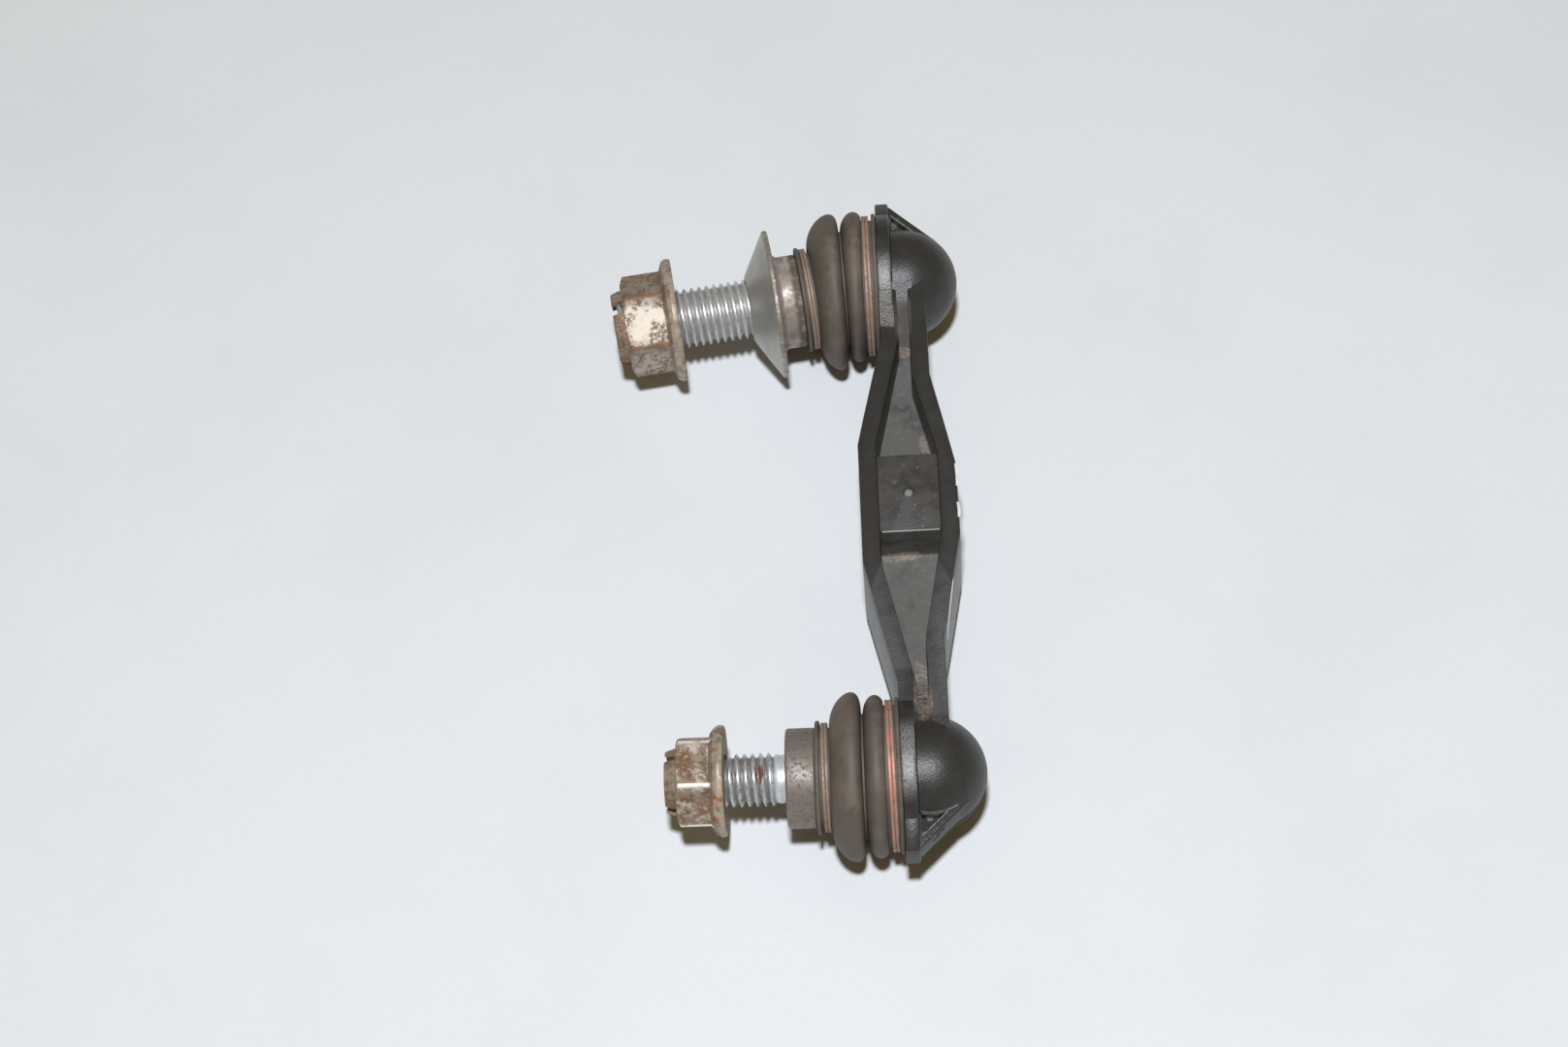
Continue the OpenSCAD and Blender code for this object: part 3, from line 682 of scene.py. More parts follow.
def stud_collar(end):
    upper = end == "upper"
    f = Finish(end + "_stud_collar", (164, 153, 144) if upper else (132, 124, 117), rough=0.5, metal=0.45)
    f.stain((120, 108, 98), (380, 0.45, 0.65), 0.75, rough=0.65, metal=0.25)
    if upper:
        station = f.millimetres(stud_place(end))["z"]
        f.stain((78, 66, 56), (420, 0.36, 0.5, (0.2, 0.4, 0)), 0.85, f.within(station, 20.0, 22.6, 0.5),
                rough=0.75, metal=0.1)
        f.stain((206, 196, 186), (420, 0.5, 0.64, (0.7, 0.4, 0)), 0.6, f.within(station, 22.6, 25.0, 0.5),
                rough=0.45)
    else:
        f.stain((92, 84, 78), (1500, 0.5, 0.62, (0.2, 0.4, 0)), 0.7, rough=0.75, metal=0.2)
    f.stain((206, 202, 196), (2400, 0.64, 0.7, (0.6, 0.4, 0)), 0.6, rough=0.4)
    f.grain(4200, 1500, 0.4, 0.08, 0.6)
    return f.done()


def cone_steel():
    f = Finish("cone_steel", (174, 172, 168), rough=0.38, metal=0.65)
    f.stain((150, 147, 143), (150, 0.4, 0.7), 0.6, rough=0.45)
    rim = f.within(f.millimetres(stud_place("upper"))["z"], 25.5, 26.9, 0.15)
    f.stain((124, 112, 100), (500, 0.35, 0.6, (0.3, 0.3, 0)), 0.85, rim, rough=0.6, metal=0.3)
    f.stain((216, 208, 198), (1500, 0.58, 0.66, (0.4, 0.1, 0)), 0.7, rim, rough=0.45, metal=0.4)
    f.stain((112, 100, 90), (700, 0.64, 0.74, (0.1, 0.2, 0.9)), 0.4, rough=0.6, metal=0.4)
    f.grain(5200, 800, 0.3, 0.02, 0.4)
    return f.done()


def zinc_thread(end):
    """Bright thread with dark streaks along it, painted shade in the roots and a few rust spots."""
    lower = end == "lower"
    f = Finish(end + "_zinc_thread", (218, 220, 222), rough=0.34, metal=0.6)
    point = f.millimetres(stud_place(end))
    stretched = vector_calc(f.tree, "MULTIPLY", point["point"], (0.45, 0.45, 1.5))
    streaks = smooth_step(f.tree, noise(f.tree, stretched, 1.6, 5.0, 0.65), 0.5, 0.62)
    f.coat((112, 110, 108), streaks, 0.75 if lower else 0.4, rough=0.5)
    # Painted shade in the roots of the thread.
    root = f.within(point["radius"], 0.0, ENDS[end]["thread"] - 0.62, 0.16)
    f.coat((98, 98, 98), root, 0.6 if lower else 0.4, rough=0.5)
    if lower:
        f.coat((214, 217, 221), f.within(point["z"], 26.0, 28.6, 0.3), 0.75, rough=0.45, metal=0.4)
        rust = f.spot(on_stud(end, 4.7, -13, 31.4), 1.5, 1.2, 1400, (0.5, 1.25, 1.15))
        f.coat((112, 66, 42), rust, 0.95, rough=0.8, metal=0.0)
    f.stain((76, 68, 60), (1300, 0.64, 0.72, (0.3, 0.1, 0.2)), 0.55, rough=0.7, metal=0.3)
    f.grain(5200, 1200, 0.4, 0.03, 0.5)
    return f.done()


def upper_nut_highlights_and_rust(f, on_hexagon, on_crown):
    """Painted highlights with pale worn plating on the flats that face the lamp, a painted lighter tone on
    the flats turned to the camera side, and rust on the crown; spots are given by station, angle and radius.
    """
    flat_r = 9.1
    # Painted highlights with pale worn plating on the flats that face the lamp.
    for station, angle, radius in ((51.2, -33, 3.0), (54.0, -26, 2.9), (52.6, -38, 3.2), (55.2, -33, 2.4),
            (50.2, -25, 1.8)):
        f.coat((200, 189, 174), f.spot(on_stud("upper", flat_r, angle, station), radius, 0.9, 700), 0.9,
               rough=0.5, metal=0.1)
    f.stain((186, 176, 172), (800, 0.58, 0.68, (0.8, 0.1, 0)), 0.6, on_hexagon, rough=0.5)
    # A painted lighter tone on the flats turned to the camera side.
    for station, angle in ((51.4, -88), (53.8, -97), (50.6, -102)):
        f.coat((190, 179, 172), f.spot(on_stud("upper", flat_r, angle, station), 2.8, 1.6, 900), 0.6,
               rough=0.5, metal=0.2)
    f.stain((140, 108, 82), (420, 0.4, 0.56), 0.8, on_crown, rough=0.75, metal=0.1)


def lower_nut_wear(f, on_hexagon, on_crown):
    """Pale flats, a brown crown, and rust on the hexagon and the flange."""
    f.stain((204, 196, 184), (420, 0.46, 0.6, (0.2, 0.6, 0)), 0.7, on_hexagon, rough=0.5, metal=0.3)
    f.stain((112, 92, 70), (900, 0.42, 0.58), 0.75, on_crown, rough=0.7, metal=0.1)
    for station, angle, radius in ((45.6, 6, 1.6), (44.6, -10, 1.3), (44.8, -44, 1.1), (41.5, -66, 1.2)):
        f.stain((116, 82, 54), (1400, 0.36, 0.6, (0.5, 0.6, 0), 6.0), 0.9,
                f.spot(on_stud("lower", 8.2, angle, station), radius * 1.3, 1.6, 1200),
                rough=0.75, metal=0.0)
    for station, angle, radius in ((41.0, -62, 1.0), (38.8, -48, 1.3), (39.0, -70, 1.2)):
        f.coat((158, 86, 50), f.spot(on_stud("lower", 9.6, angle, station), radius, 1.5, 1300), 0.85,
               rough=0.8, metal=0.0)


def nut_steel(end):
    """Dull zinc with rust, pale or brown corners and a painted highlight on the flange rim."""
    s = ENDS[end]
    upper = end == "upper"
    beyond = 30
    f = Finish(end + "_nut_steel", (152, 140, 127) if upper else (150, 137, 121), rough=0.52, metal=0.3)
    point = f.millimetres(stud_place(end))
    hex_start = s["nut"] + NUT_FOOT
    hex_end = hex_start + s["hex"]
    on_hexagon = f.within(point["z"], hex_start, hex_end, 0.3)
    on_crown = f.within(point["z"], hex_end, hex_end + (4 if upper else 5), 0.3)
    f.stain((122, 106, 90), (300, 0.42, 0.64, (0.13, 0.02, 0.0) if upper else (0.5, 0.1, 0.3)), 0.75,
            rough=0.6, metal=0.25)
    wear_and_highlights = upper_nut_highlights_and_rust if upper else lower_nut_wear
    wear_and_highlights(f, on_hexagon, on_crown)
    f.stain((106, 76, 50), (1500, 0.42, 0.56, (0.1, 0.3, 0.2), 6.0), 0.85,
            f.blotches(260, 0.44, 0.56, (0.2, 0.3, 0.1 if upper else 0.6)), rough=0.75, metal=0.1)
    corner = f.times(f.corners(point, 0 if upper else 30, 0.93, 0.985),
                     f.within(point["z"], hex_start - 0.4, hex_end - 0.3, 0.3),
                     f.within(point["radius"], s["flats"] + 0.35, beyond, 0.2))
    f.stain((126, 96, 70) if upper else (240, 233, 220), (420, 0.3, 0.5, (0.4, 0.4, 0)), 0.9, corner,
            rough=0.7 if upper else 0.4, metal=0.1 if upper else 0.3)
    # Painted highlight along the flange rim.
    rim = f.within(point["radius"], s["flange"] - 0.55, beyond, 0.2)
    f.stain((190, 178, 162), (460, 0.4, 0.56, (0.1, 0.9, 0)), 0.6, rim, rough=0.45, metal=0.35)
    f.stain((160, 94, 58), (1100, 0.66, 0.72, (0.7, 0.1, 0.4)), 0.7, rough=0.8, metal=0.0)
    f.grain(4600, 1300, 0.4, 0.07, 0.55)
    return f.done()


def plain_finish(name, colour, rough, second, cloud, strength, metal=0.0, second_rough=None):
    """A finish of two tones."""
    f = Finish(name, colour, rough, metal)
    f.stain(second, cloud, strength, rough=second_rough)
    f.grain(4200, 900, 0.4, 0.03, 0.4)
    return f.done()


def pale_table():
    f = Finish("pale_table", (217, 220, 223), rough=0.7)
    f.stain((211, 214, 217), (14, 0.4, 0.7), 0.6)
    f.stain((207, 210, 213), (900, 0.5, 0.7), 0.3)
    return f.done()


# The moulded body

def stud_side(x):
    """Whether a point or a face lies on the flange nearer to the nuts."""
    return x < -1


def flange_top(point):
    """Half height of a flange: flat along the waist, then falling away past a slanting crease."""
    drop = 0.0
    for inner, outer in CREASES:
        if point.y * inner.y > 0 and stud_side(point.x) == stud_side(inner.x):
            across = (outer - inner).orthogonal().normalized()
            foot = Vector((NECK_MIDDLES[inner.x > 0], math.copysign(HALF_SPAN - PLATE_BACK, inner.y)))
            if (foot - inner).dot(across) < 0:
                across.negate()
            fall = (BEAM_HALF - BEAM_END_HALF) / (foot - inner).dot(across)
            drop = max(drop, fall * (point - inner).dot(across))
    return BEAM_HALF - drop


def wall_line(neck, waist, stations):
    """A flange's wall: two points on each neck and the others along the waist."""
    return list(zip([neck] * 2 + [waist] * (len(stations) - 4) + [neck] * 2, stations))


def beam():
    """Two flanges, a web and a centre block, drawn flat and raised in steps, then mirrored below."""
    reach = HALF_SPAN - PLATE_BACK
    stations = (reach, STUD_NECK[0], STUD_WAIST[0], BLOCK_END, -BLOCK_END, STUD_WAIST[1], STUD_NECK[1],
                -reach)
    stud_out = wall_line(CLEAR - PLATE_FACE, STUD_OUT, stations)
    stud_in = wall_line(NECK_STUD_IN, STUD_IN, stations)
    first, last = (reach, DOME_NECK[0]), (DOME_WAIST[1], DOME_NECK[1], -reach)
    dome_in = wall_line(NECK_DOME_IN, DOME_IN, (*first, BLOCK_END, -BLOCK_END, *last))
    dome_out = wall_line(NECK_DOME_OUT, DOME_OUT, (*first, *DOME_WAIST, *last))
    flanges = [list(dict.fromkeys((a[i], a[i + 1], b[i + 1], b[i])))
               for a, b in ((stud_out, stud_in), (dome_in, dome_out)) for i in range(len(a) - 1)]
    block = [stud_in[3], stud_in[4], dome_in[3], dome_in[2]]
    pockets = [stud_in[:4] + dome_in[2::-1], stud_in[4:] + dome_in[:2:-1]]
    bm = drawn(flanges + [block] + pockets)
    step = bm.faces.layers.int.new("step")  # 2 on the flanges, 1 on the block, 0 on the web
    faces = list(bm.faces)
    for face in faces[:len(flanges)]:
        face[step] = 2
    faces[len(flanges)][step] = 1

    def tops(lowest):
        return [face for face in bm.faces if face[step] >= lowest and face.normal.z > 0.9]

    raised(bm, faces, WEB_HALF)
    raised(bm, tops(1), BLOCK_HALF - WEB_HALF)
    raised(bm, tops(2), BEAM_HALF - BLOCK_HALF)
    for inner, outer in CREASES:
        across = (outer - inner).orthogonal().normalized()
        strip = [face for face in tops(2) if stud_side(face.calc_center_median().x) == stud_side(inner.x)
                 and face.calc_center_median().y * inner.y > 0]
        parts = {part for face in strip for part in (face, *face.edges, *face.verts)}
        bmesh.ops.bisect_plane(bm, geom=list(parts), dist=1e-4, plane_co=inner.to_3d(),
                               plane_no=across.to_3d())
    for vert in bm.verts:
        if vert.co.z > WEB_HALF + 0.1:
            vert.co.z *= flange_top(vert.co.to_2d()) / BEAM_HALF
        elif (vert.co.z > 0.1 and abs(abs(vert.co.y) - BLOCK_END) < 0.01
              and STUD_IN - 0.1 < vert.co.x < DOME_IN + 0.1):
            vert.co.y += math.copysign(BLOCK_DRAFT, vert.co.y)
    copy = bmesh.ops.duplicate(bm, geom=bm.verts[:] + bm.edges[:] + bm.faces[:])["geom"]
    below = [g for g in copy if isinstance(g, bmesh.types.BMVert)]
    bmesh.ops.scale(bm, vec=(1, 1, -1), verts=below)
    return softened(closed(bm), BEAM_ROUND)


def across_housing(bm, side):
    """Moves a mesh turned on the z axis onto the axis of a housing."""
    return placed(bm, Matrix.Translation((0, side * HALF_SPAN, 0)) @ AXIS_TURN)


def to_housing(bm, side, height=0.0, face=1):
    """Moves a mesh drawn about a ball centre to a housing, with y pointing away from the link."""
    return closed(placed(bm, Matrix.Translation((0, side * HALF_SPAN, height))
            @ Matrix.Scale(side, 4, (0, 1, 0)) @ Matrix.Scale(face, 4, (0, 0, 1))))


def housing(side):
    """A ball housing turned about its axis: dome, round plate and mouth."""
    outline = arc(DOME_R, -90, 0, 20) + rounded(
        [(DOME_R, 0, 0), (DOME_R, PLATE_BACK - 0.2, 0), (DOME_R - 0.3, PLATE_BACK, 0),
         (PLATE_R, PLATE_BACK, 0.45), (PLATE_R, PLATE_FACE, 0.35), (MOUTH_R, PLATE_FACE, 0),
         (MOUTH_R, MOUTH_END, 0.2), (0, MOUTH_END, 0)])[1:]
    return across_housing(turned(outline, 128), side)


def socket(side):
    """The hollow that takes the ball seat."""
    outline = arc(SOCKET_R, -90, 0, 16) + [Vector((SOCKET_R, MOUTH_END + 1)), Vector((0, MOUTH_END + 1))]
    return across_housing(turned(outline, 100), side)


def tab_corners():
    """Tip of a tab's slanted wall, where the wall touches the dome, and its slope."""
    tip = Vector((-PLATE_BACK, TAB_REACH - TAB_STEP))
    lean = DOME_R - TAB_INSET
    touch_angle = math.atan2(tip.y, tip.x) - math.acos(lean / tip.length)
    touch = lean * Vector((math.cos(touch_angle), math.sin(touch_angle)))
    return tip, touch, (touch.y - tip.y) / (touch.x - tip.x)


def slab(outline, low, high, side, outward):
    """Thickens an outline of (distance from the ball centre along the link, height) across the link."""
    turn = Matrix(((0, 0, 1), (side * outward, 0, 0), (0, 1, 0))).to_4x4()
    place = Matrix.Translation((low, side * HALF_SPAN, 0)) @ turn
    return closed(placed(thickened(outline, high - low), place))


def plate_flanks(side):
    """Draws the round plate out to the tip of the tab."""
    y = (PLATE_R - 0.1) * math.cos(math.radians(TAB_FLANK))
    z = (PLATE_R - 0.1) * math.sin(math.radians(TAB_FLANK))
    outline = [(4, 0), (y, -z), (TAB_REACH, -TAB_BELOW), (TAB_REACH, TAB_ABOVE), (y, z)]
    return softened(slab(outline, -PLATE_FACE + CLEAR, -PLATE_BACK - CLEAR, side, 1), 0.35)


def ramp(side):
    """Fills a pocket's end between the flanges, from the web up to the dome."""
    foot = Vector((RAMP_REACH, WEB_HALF))
    angle = math.atan2(foot.y, foot.x) + math.acos(DOME_R / foot.length)
    touch = DOME_R * Vector((math.cos(angle), math.sin(angle)))
    foot += (foot - touch) * 0.02
    outline = [(4, -6), (touch.x, -touch.y), (foot.x, -foot.y), tuple(foot), tuple(touch), (4, 6)]
    return slab(outline, *RAMP_SIDES, side, -1)


def tab(side):
    """The tab on a housing's outer side, which leans on the dome."""
    tip, touch, _ = tab_corners()
    inside = -PLATE_BACK - 1
    bm = thickened([(inside, 0), (inside, tip.y), tuple(tip), tuple(touch), (0, 0)],
                   TAB_ABOVE + TAB_BELOW - 2 * CLEAR)
    return to_housing(softened(bm, 0.45, segments=3), side, CLEAR - TAB_BELOW)


def tab_pocket(side, face):
    """The three-cornered pocket in a tab, which also cuts into the foot of the dome."""
    tip, _, slope = tab_corners()
    top = tip.y - TAB_RIM / math.cos(math.atan(slope))
    inset = 0.4
    bm = thickened([(-PLATE_BACK + inset, POCKET_FOOT), (-PLATE_BACK + inset, top + inset * slope),
                    ((POCKET_FOOT - top) / slope - PLATE_BACK, POCKET_FOOT)], 9.0)
    moved(bm, z=TAB_WEB + face * (TAB_ABOVE - TAB_BELOW) / 2)
    bm = carved(bm, rod(POCKET_FOOT_R, 40, 96), "DIFFERENCE")
    return to_housing(bm, side, face=face)


def mould_mark(face):
    """Shallow round mark in the middle of the centre block."""
    return moved(rod(MARK_R, 1.0, 40), MARK_X, 0, face * (BLOCK_HALF + MARK_LIFT))


def link_body(finish):
    bm = beam()
    both = (1, -1)
    for shape in (housing, ramp, plate_flanks, tab):
        bm = carved(bm, together([shape(side) for side in both]), "UNION")
    hollows = [socket(side) for side in both]
    hollows += [tab_pocket(side, face) for side in both for face in both]
    hollows += [mould_mark(face) for face in both]
    bm = carved(bm, together(hollows), "DIFFERENCE")
    piece("link_body_moulding", bm, body_place(), finish, "link", ["link_body"], 28)


def label_remnant(name, corners, wall, finish):
    """A torn scrap of blank label left on a flange."""
    piece(name, thickened(corners, LABEL_THICK), wall, finish, "link", [])


def outer_wall_place(start, stop):
    """Places a drawing on the outer wall between two points of the outline: x along it, y up."""
    along = Vector((stop[0] - start[0], stop[1] - start[1], 0)).normalized()
    up = Vector((0, 0, 1))
    turn = Matrix((along, up, along.cross(up))).transposed().to_4x4()
    return body_place() @ Matrix.Translation((start[0], start[1], 0)) @ turn


def labels(finish):
    """One scrap on the outer wall and two on the rounded edge above it."""
    wall = outer_wall_place((NECK_DOME_OUT, DOME_NECK[1]), (DOME_OUT, DOME_WAIST[1]))
    torn = [(12.2, 9.6), (11.3, 10.0), (8.7, 9.2), (6.1, 6.6), (4.1, 4.6), (3.3, 1.4), (3.9, 0.9), (5.5, 4.0),
            (8.3, 6.6), (10.7, 7.6)]
    label_remnant("label_scrap_lower", torn, wall, finish)
    for name, start, length in (("label_scrap_upper", 0.5, 5.2), ("label_scrap_middle", -6.4, 3.4)):
        edge = (body_place() @ Matrix.Translation((LABEL_EDGE_X, start, BEAM_HALF - LABEL_THICK))
                @ Matrix.Rotation(math.radians(45), 4, "Y"))
        label_remnant(name, [(-0.35, 0), (0.15, 0.1), (0.5, 0.3 * length), (0.4, 0.7 * length), (0.2, length),
                (-0.45, 0.95 * length), (-0.3, 0.5 * length)], edge, finish)


# Boots and clips

def fold(t0, t1, r0, crest, r1, lean, count=22):
    """A rounded fold between two radii, its crest leaning towards one end."""
    mean, half = (r0 + r1) / 2, (r1 - r0) / 2
    rise = math.sqrt((crest - mean) ** 2 - half ** 2)
    points = []
    for i in range(count + 1):
        a = math.pi * i / count
        points.append(Vector((mean - half * math.cos(a) + rise * math.sin(a),
                t0 + (t1 - t0) * ((1 - math.cos(a)) / 2) ** lean)))
    return points


def bend_share(t):
    """How much of the stud's lean a boot has taken up at a station."""
    v = min(max((t - INNER_FOLD) / (SMALL_CLIP - INNER_FOLD), 0), 1)
    return v * v * (3 - 2 * v)


def bent(bm, end):
    """Turns each ring of a boot about the ball centre by its share of the stud's lean."""
    for vert in bm.verts:
        turn = stud_turn(end) * bend_share(vert.co.z)
        y, z = vert.co.y, vert.co.z
        vert.co.y = y * math.cos(turn) - z * math.sin(turn)
        vert.co.z = z * math.cos(turn) + y * math.sin(turn)
    return bm


def boot_outlines():
    """Closed outlines of a boot's two halves, which meet in the crease between its folds."""
    edge = BOOT_WALL / 4
    seam = [Vector((CREASE_R, CREASE + edge / 2)), Vector((CREASE_R - BOOT_WALL, CREASE + edge / 2))]
    housing_half = rounded([(BEAD_IN_R, BOOT_START, 0), (BEAD_R + LIP, BOOT_START, LIP_ROUND),
            (BEAD_R + LIP, LARGE_CLIP, LIP_ROUND), (BEAD_R, LARGE_CLIP, 0),
            (BEAD_R, INNER_FOLD, 0)])
    housing_half += fold(INNER_FOLD, CREASE, BEAD_R + LIP / 2, INNER_CREST, CREASE_R, INNER_LEAN)
    housing_half += seam
    housing_half += fold(INNER_FOLD + edge, CREASE - edge, BEAD_IN_R, INNER_CREST - BOOT_WALL,
            CREASE_R - BOOT_WALL, INNER_LEAN)[::-1]
    stud_half = seam[:1]
    stud_half += fold(CREASE + edge, SMALL_CLIP, CREASE_R, OUTER_CREST, CUFF_R + LIP / 2, OUTER_LEAN, 28)
    stud_half += rounded([(CUFF_R, SMALL_CLIP, 0), (CUFF_R, CUFF_LIP, 0), (CUFF_R + LIP, CUFF_LIP, LIP_ROUND),
            (CUFF_R + LIP, BOOT_END, LIP_ROUND), (CUFF_IN_R, BOOT_END, 0)])
    stud_half += fold(CREASE + 2 * edge, SMALL_CLIP - edge, CREASE_R - BOOT_WALL, OUTER_CREST - BOOT_WALL,
                      CUFF_IN_R, OUTER_LEAN, 28)[::-1]
    stud_half += seam[1:]
    return housing_half, stud_half


def boots(end, finish):
    """A boot in two halves, each bent by its share of the stud's lean and fixed in place."""
    axis = housing_place(end)
    housing_half, stud_half = boot_outlines()
    for name, outline, first, last, line, start, stop in (
            ("housing", housing_half, "link", end + "_boot", axis, INNER_FOLD, CREASE - BLEND_MARGIN),
            ("stud", stud_half, end + "_boot", end + "_clip", stud_place(end), CREASE + BLEND_MARGIN,
             SMALL_CLIP)):
        bm = bent(ring_of(outline), end)
        made = piece(f"{end}_boot_{name}_half", bm, axis, finish, None,
                     [end + "_boot"], 50)
        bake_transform(made)


def clip(name, end, inner, start, stop, place, body, finish):
    """A spring clip of flat wire, wound not quite twice and lying turn on turn."""
    width = (stop - start - 3 * SEAT_GAP) / (CLIP_TURNS + 1)
    low = start + SEAT_GAP
    inner += SEAT_GAP
    outer = inner + CLIP_THICK
    profile = rounded([(inner, low, 0), (outer, low, CLIP_ROUND), (outer, low + width, CLIP_ROUND),
                       (inner, low + width, 0)], 3)
    bm = rotated(wound(profile, CLIP_TURNS, width + SEAT_GAP / 2, 96), ENDS[end]["clip_turn"])
    piece(f"{name}_wound", bm, place, finish, body, [name], 40)


# Studs, cone and nuts

def stud(end, finish, thread_finish):
    """A ball stud: ball, neck, flare, collar and shank with a hexagon socket, then its thread."""
    s = ENDS[end]
    root = s["thread"] - THREAD_DEPTH
    collar_end, stud_end = s["collar_end"], s["end"]
    neck_angle = math.degrees(math.acos(NECK_R / BALL_R))
    collar_foot = [(COLLAR_R, collar_end, 0.55)]
    if end == "upper":
        collar_foot = [(COLLAR_R, collar_end - COLLAR_FLARE, 0.8), (COLLAR_R + COLLAR_FLARE, collar_end, 0)]
    outline = arc(BALL_R, -90, neck_angle, 24) + rounded(
        [(NECK_R, BALL_R * math.sin(math.radians(neck_angle)), 0), (NECK_R, NECK_END, 1.0),
         (CUFF_SEAT_R, CUFF_SEAT, 1.0), (CUFF_SEAT_R, COLLAR, 0), (COLLAR_R, COLLAR, 0.4), *collar_foot,
         (root + 0.5, collar_end, 0), (root, collar_end + 0.5, 0), (root, stud_end - END_CHAMFER, 0),
         (root - END_CHAMFER, stud_end, 0.15), (0, stud_end, 0)])[1:]
    key = moved(rod(KEY_HALF_FLATS / math.cos(math.pi / 6), 2 * KEY_DEPTH, 6), z=stud_end)
    bm = carved(turned(outline, 96), key, "DIFFERENCE")
    place, body, nodes = stud_place(end), end + "_stud", [end + "_ball_stud"]
    piece(end + "_stud_core", bm, place, finish, body, nodes)
    piece(end + "_stud_thread", thread(end, root), place, thread_finish, body, nodes, 50)


def thread(end, root):
    """A helical thread: one ridge wound along the shank, running out at both ends."""
    s = ENDS[end]
    steps = 64
    start, stop = s["collar_end"] - PITCH * 1.5, s["end"] + PITCH * 0.5
    turns = math.ceil((stop - start) / PITCH)
    crest, low = s["thread"] - 0.03, root - 0.02
    ridge = [(low, 0), (low, 0.12), (crest, 0.66), (crest, 0.84), (low, 1.38), (low, PITCH)]
    bm = spun([(r, start + t) for r, t in ridge], dvec=(0, 0, PITCH / steps), angle=math.tau * turns,
              steps=steps * turns)
    bmesh.ops.remove_doubles(bm, verts=bm.verts, dist=1e-4)
    flat = root + 0.42  # radius that the ridge fades to beside the collar
    for vert in bm.verts:
        vert.co.z = min(max(vert.co.z, s["collar_end"] - 0.6), s["end"] - 0.02)
        before = r = Vector((vert.co.x, vert.co.y)).length
        near = (vert.co.z - s["collar_end"]) / s["run_out"]
        if near < 1:
            share = min(max((near - 0.4) / 0.6, 0), 1)
            r = flat + (r - flat) * (0.1 + 0.9 * share * share)
        r = min(r, s["thread"], root - 0.45 + max(s["end"] - 0.1 - vert.co.z, 0) * 1.2)
        if r != before:
            vert.co.x *= r / before
            vert.co.y *= r / before
    return capped(bm)


def cone_ring(finish):
    """The conical seat on the upper stud, with its thin rim."""
    start = ENDS["upper"]["collar_end"] + SEAT_GAP
    stop = start + CONE_LENGTH
    outline = rounded([(CONE_BORE, start, 0), (CONE_R, start, 0.3), (CONE_R, start + CONE_RIM, 0.3),
                       (CONE_NOSE, stop, 0.15), (CONE_BORE, stop, 0)])
    piece("upper_cone_seat", ring_of(outline, 128), stud_place("upper"), finish, "upper_stud",
          ["upper_cone_ring"], 30)


def nut_hexagon(s, face, hex_end):
    """The chamfered hexagon of a nut."""
    flats, height = s["flats"], s["hex"] + 1.4
    corner = flats / math.cos(math.pi / 6)
    prism = rod(corner, height, 6)
    upright = [e for e in prism.edges if abs(e.verts[0].co.z - e.verts[1].co.z) > 1]
    rotated(bevelled(prism, upright, 0.45, 3), math.radians(s["hex_turn"]))
    moved(prism, z=hex_end - height / 2)
    shape = turned(rounded([(0, face + 1, 0), (corner + 0.5, face + 1, 0), (corner + 0.5, hex_end - 1.0, 0),
            (flats - 0.35, hex_end, 0.25), (0, hex_end, 0)]))
    return carved(prism, shape, "INTERSECT")


def nut_crown(s, hex_start, hex_end, top):
    """The crown of a nut with its three slots."""
    crown = turned(rounded([(0, hex_start, 0), (s["crown"], hex_start, 0), (s["crown"], hex_end + 0.5, 0.3),
            (s["crown"] - 0.55, top, 0.4), (0, top, 0)]))
    for i in range(3):
        slot = bmesh.new()
        bmesh.ops.create_cube(slot, size=1.0)
        bmesh.ops.scale(slot, verts=slot.verts, vec=(SLOT_LENGTH, SLOT_WIDTH, SLOT_HEIGHT))
        bevelled(slot, slot.edges[:], 0.25, 2)
        moved(slot, SLOT_LENGTH / 2, 0, hex_end + SLOT_HEIGHT / 2)
        crown = carved(crown, rotated(slot, math.radians(s["slot_turn"] + 120 * i)), "DIFFERENCE")
    return crown


def nut(end, finish):
    """A flange lock nut: dished flange, chamfered hexagon and a crown with three slots."""
    s = ENDS[end]
    face, rim = s["nut"], s["flange"]
    hex_start = face + NUT_FOOT
    hex_end = hex_start + s["hex"]
    top = hex_end + CROWN
    bore = s["thread"] + BORE_GAP
    foot = (s["flats"] + s["flats"] / math.cos(math.pi / 6)) / 2 + 0.3
    flange = turned(rounded([(0, face, 0), (rim - 0.2, face, 0.3), (rim, face + 1.0, 0.6),
            (rim - 0.5, face + 1.9, 0.5), (foot, hex_start, 0.3), (0, hex_start + 0.5, 0)]), 128)
    bm = carved(flange, nut_hexagon(s, face, hex_end), "UNION")
    bm = carved(bm, nut_crown(s, hex_start, hex_end, top), "UNION")
    through = turned([(0, face - 1), (bore, face - 1), (bore, top + 1), (0, top + 1)])
    bm = carved(bm, through, "DIFFERENCE")
    piece(end + "_flange_nut", bm, stud_place(end), finish, end + "_nut", [end + "_nut"], 30)


# Camera, light and table

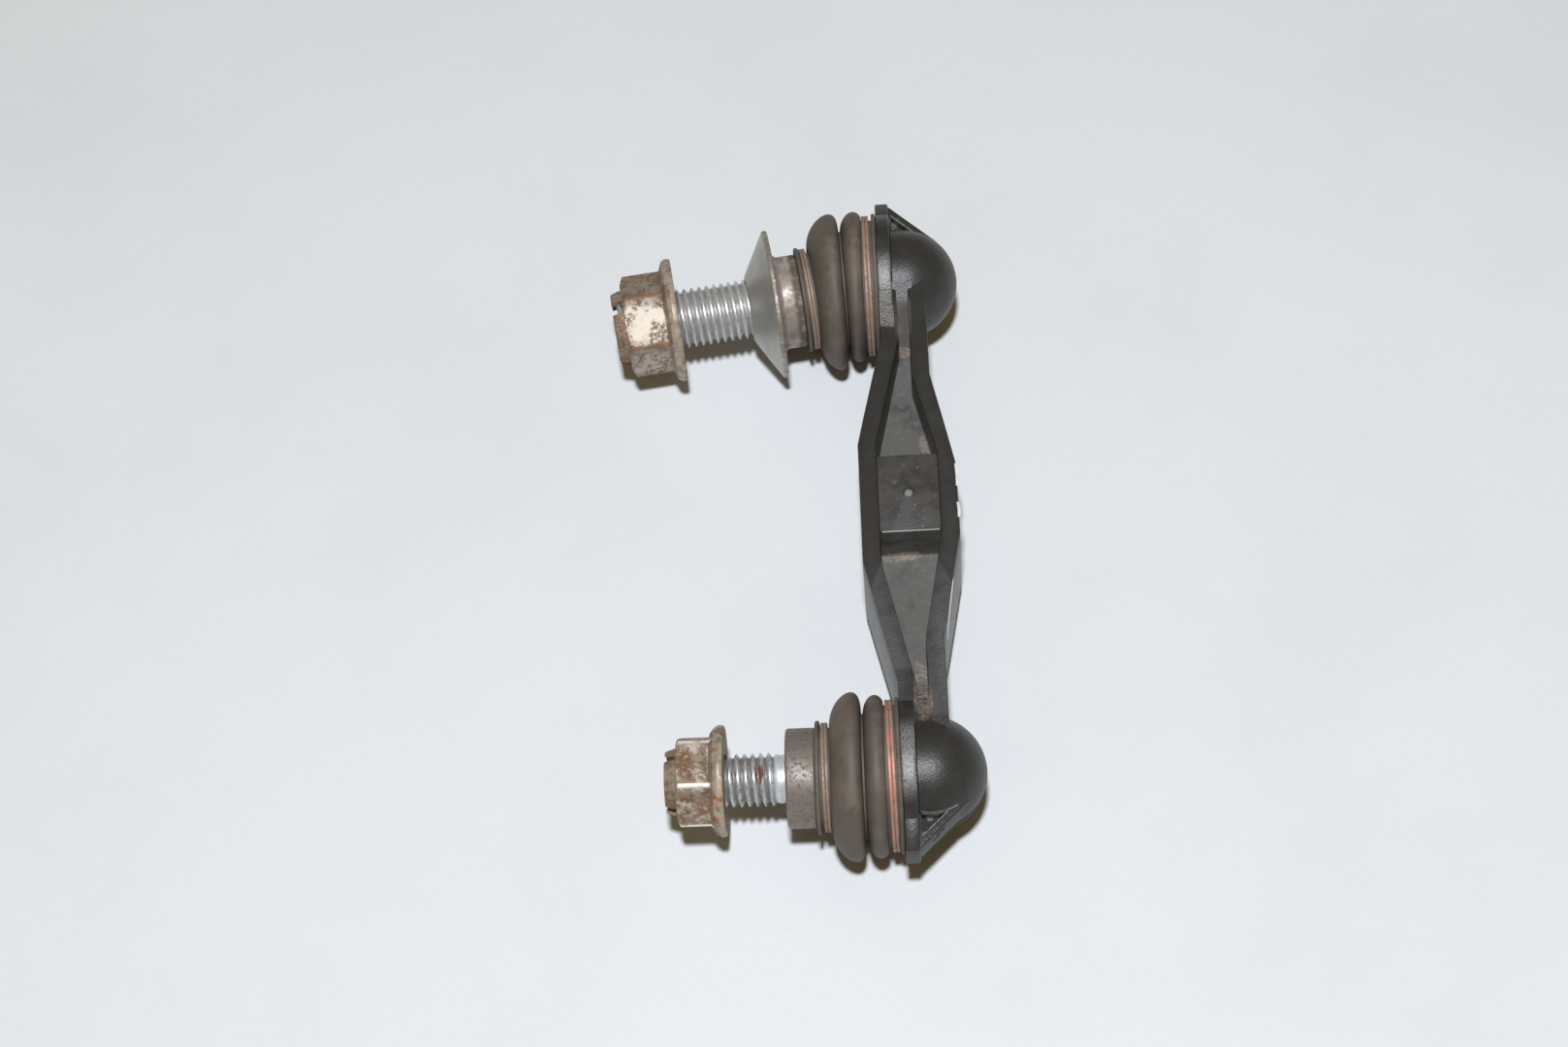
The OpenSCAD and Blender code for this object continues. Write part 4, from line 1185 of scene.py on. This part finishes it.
def place_camera():
    """Looks down on the link as the photographer did, with the frame turned a little."""
    azimuth, elevation, roll = (math.radians(a) for a in (AZIMUTH, ELEVATION, ROLL))
    turn = (Matrix.Rotation(azimuth, 4, "Z") @ Matrix.Rotation(math.pi / 2 - elevation, 4, "X")
            @ Matrix.Rotation(roll, 4, "Z"))
    data = bpy.data.cameras.new("camera")
    data.sensor_width = SENSOR
    data.sensor_fit = "HORIZONTAL"
    data.lens = SENSOR * FOCAL_PIXELS / PHOTO_WIDTH
    data.clip_start = 0.01
    camera = linked("camera", data)
    back = Matrix.Translation((0, 0, DISTANCE * MM))
    camera.matrix_world = Matrix.Translation(at(*LOOK_AT)) @ turn @ back
    scene.camera = camera


def studio():
    """One soft lamp, a dim warm surround and a pale table."""
    world = bpy.data.worlds.new("studio")
    scene.world = world
    world.use_nodes = True
    background = world.node_tree.nodes["Background"]
    background.inputs["Color"].default_value = SKY_COLOUR
    background.inputs["Strength"].default_value = SKY_STRENGTH
    data = bpy.data.lights.new("key", "AREA")
    data.shape = "DISK"
    data.size = KEY_SIZE
    data.energy = KEY_POWER
    data.color = KEY_COLOUR
    key = linked("key", data)
    key.location = KEY_PLACE
    key.rotation_euler = Vector(KEY_PLACE).to_track_quat("Z", "Y").to_euler()
    bm = bmesh.new()
    bmesh.ops.create_grid(bm, x_segments=1, y_segments=1, size=TABLE_HALF)
    table = linked("table", as_mesh(bm, "table"))
    table.data.materials.append(pale_table())


def build():
    link_body(moulded_plastic())
    labels(plain_finish("label_paper", (238, 240, 242), 0.55, (214, 215, 216), (700, 0.5, 0.66), 0.6))
    rubber = boot_rubber()
    for end in ENDS:
        boots(end, rubber)
        on_housing, on_axis = housing_place(end), stud_place(end)
        clip(end + "_large_clip", end, BEAD_R, LARGE_CLIP, INNER_FOLD, on_housing, "link",
             wound_wire(end + "_large_wire", on_housing, (LARGE_CLIP + INNER_FOLD) / 2, ENDS[end]["red"]))
        clip(end + "_small_clip", end, CUFF_R, SMALL_CLIP, CUFF_LIP, on_axis, end + "_clip",
             wound_wire(end + "_small_wire", on_axis))
        stud(end, stud_collar(end), zinc_thread(end))
        nut(end, nut_steel(end))
        seat = plain_finish("seat_plastic", (214, 208, 192), 0.4, (196, 188, 168), (300, 0.4, 0.7), 0.7)
        ring = plain_finish("ring_steel", (150, 150, 150), 0.38, (112, 108, 102), (400, 0.5, 0.66), 0.7,
                            metal=0.9, second_rough=0.55)
        for name, finish in (("_ball_seat", seat), ("_retaining_ring", ring)):
            mesh = frame["nodes"][end + name].data
            mesh.materials.clear()
            mesh.materials.append(finish)
    cone_ring(cone_steel())


place_camera()
studio()
build()
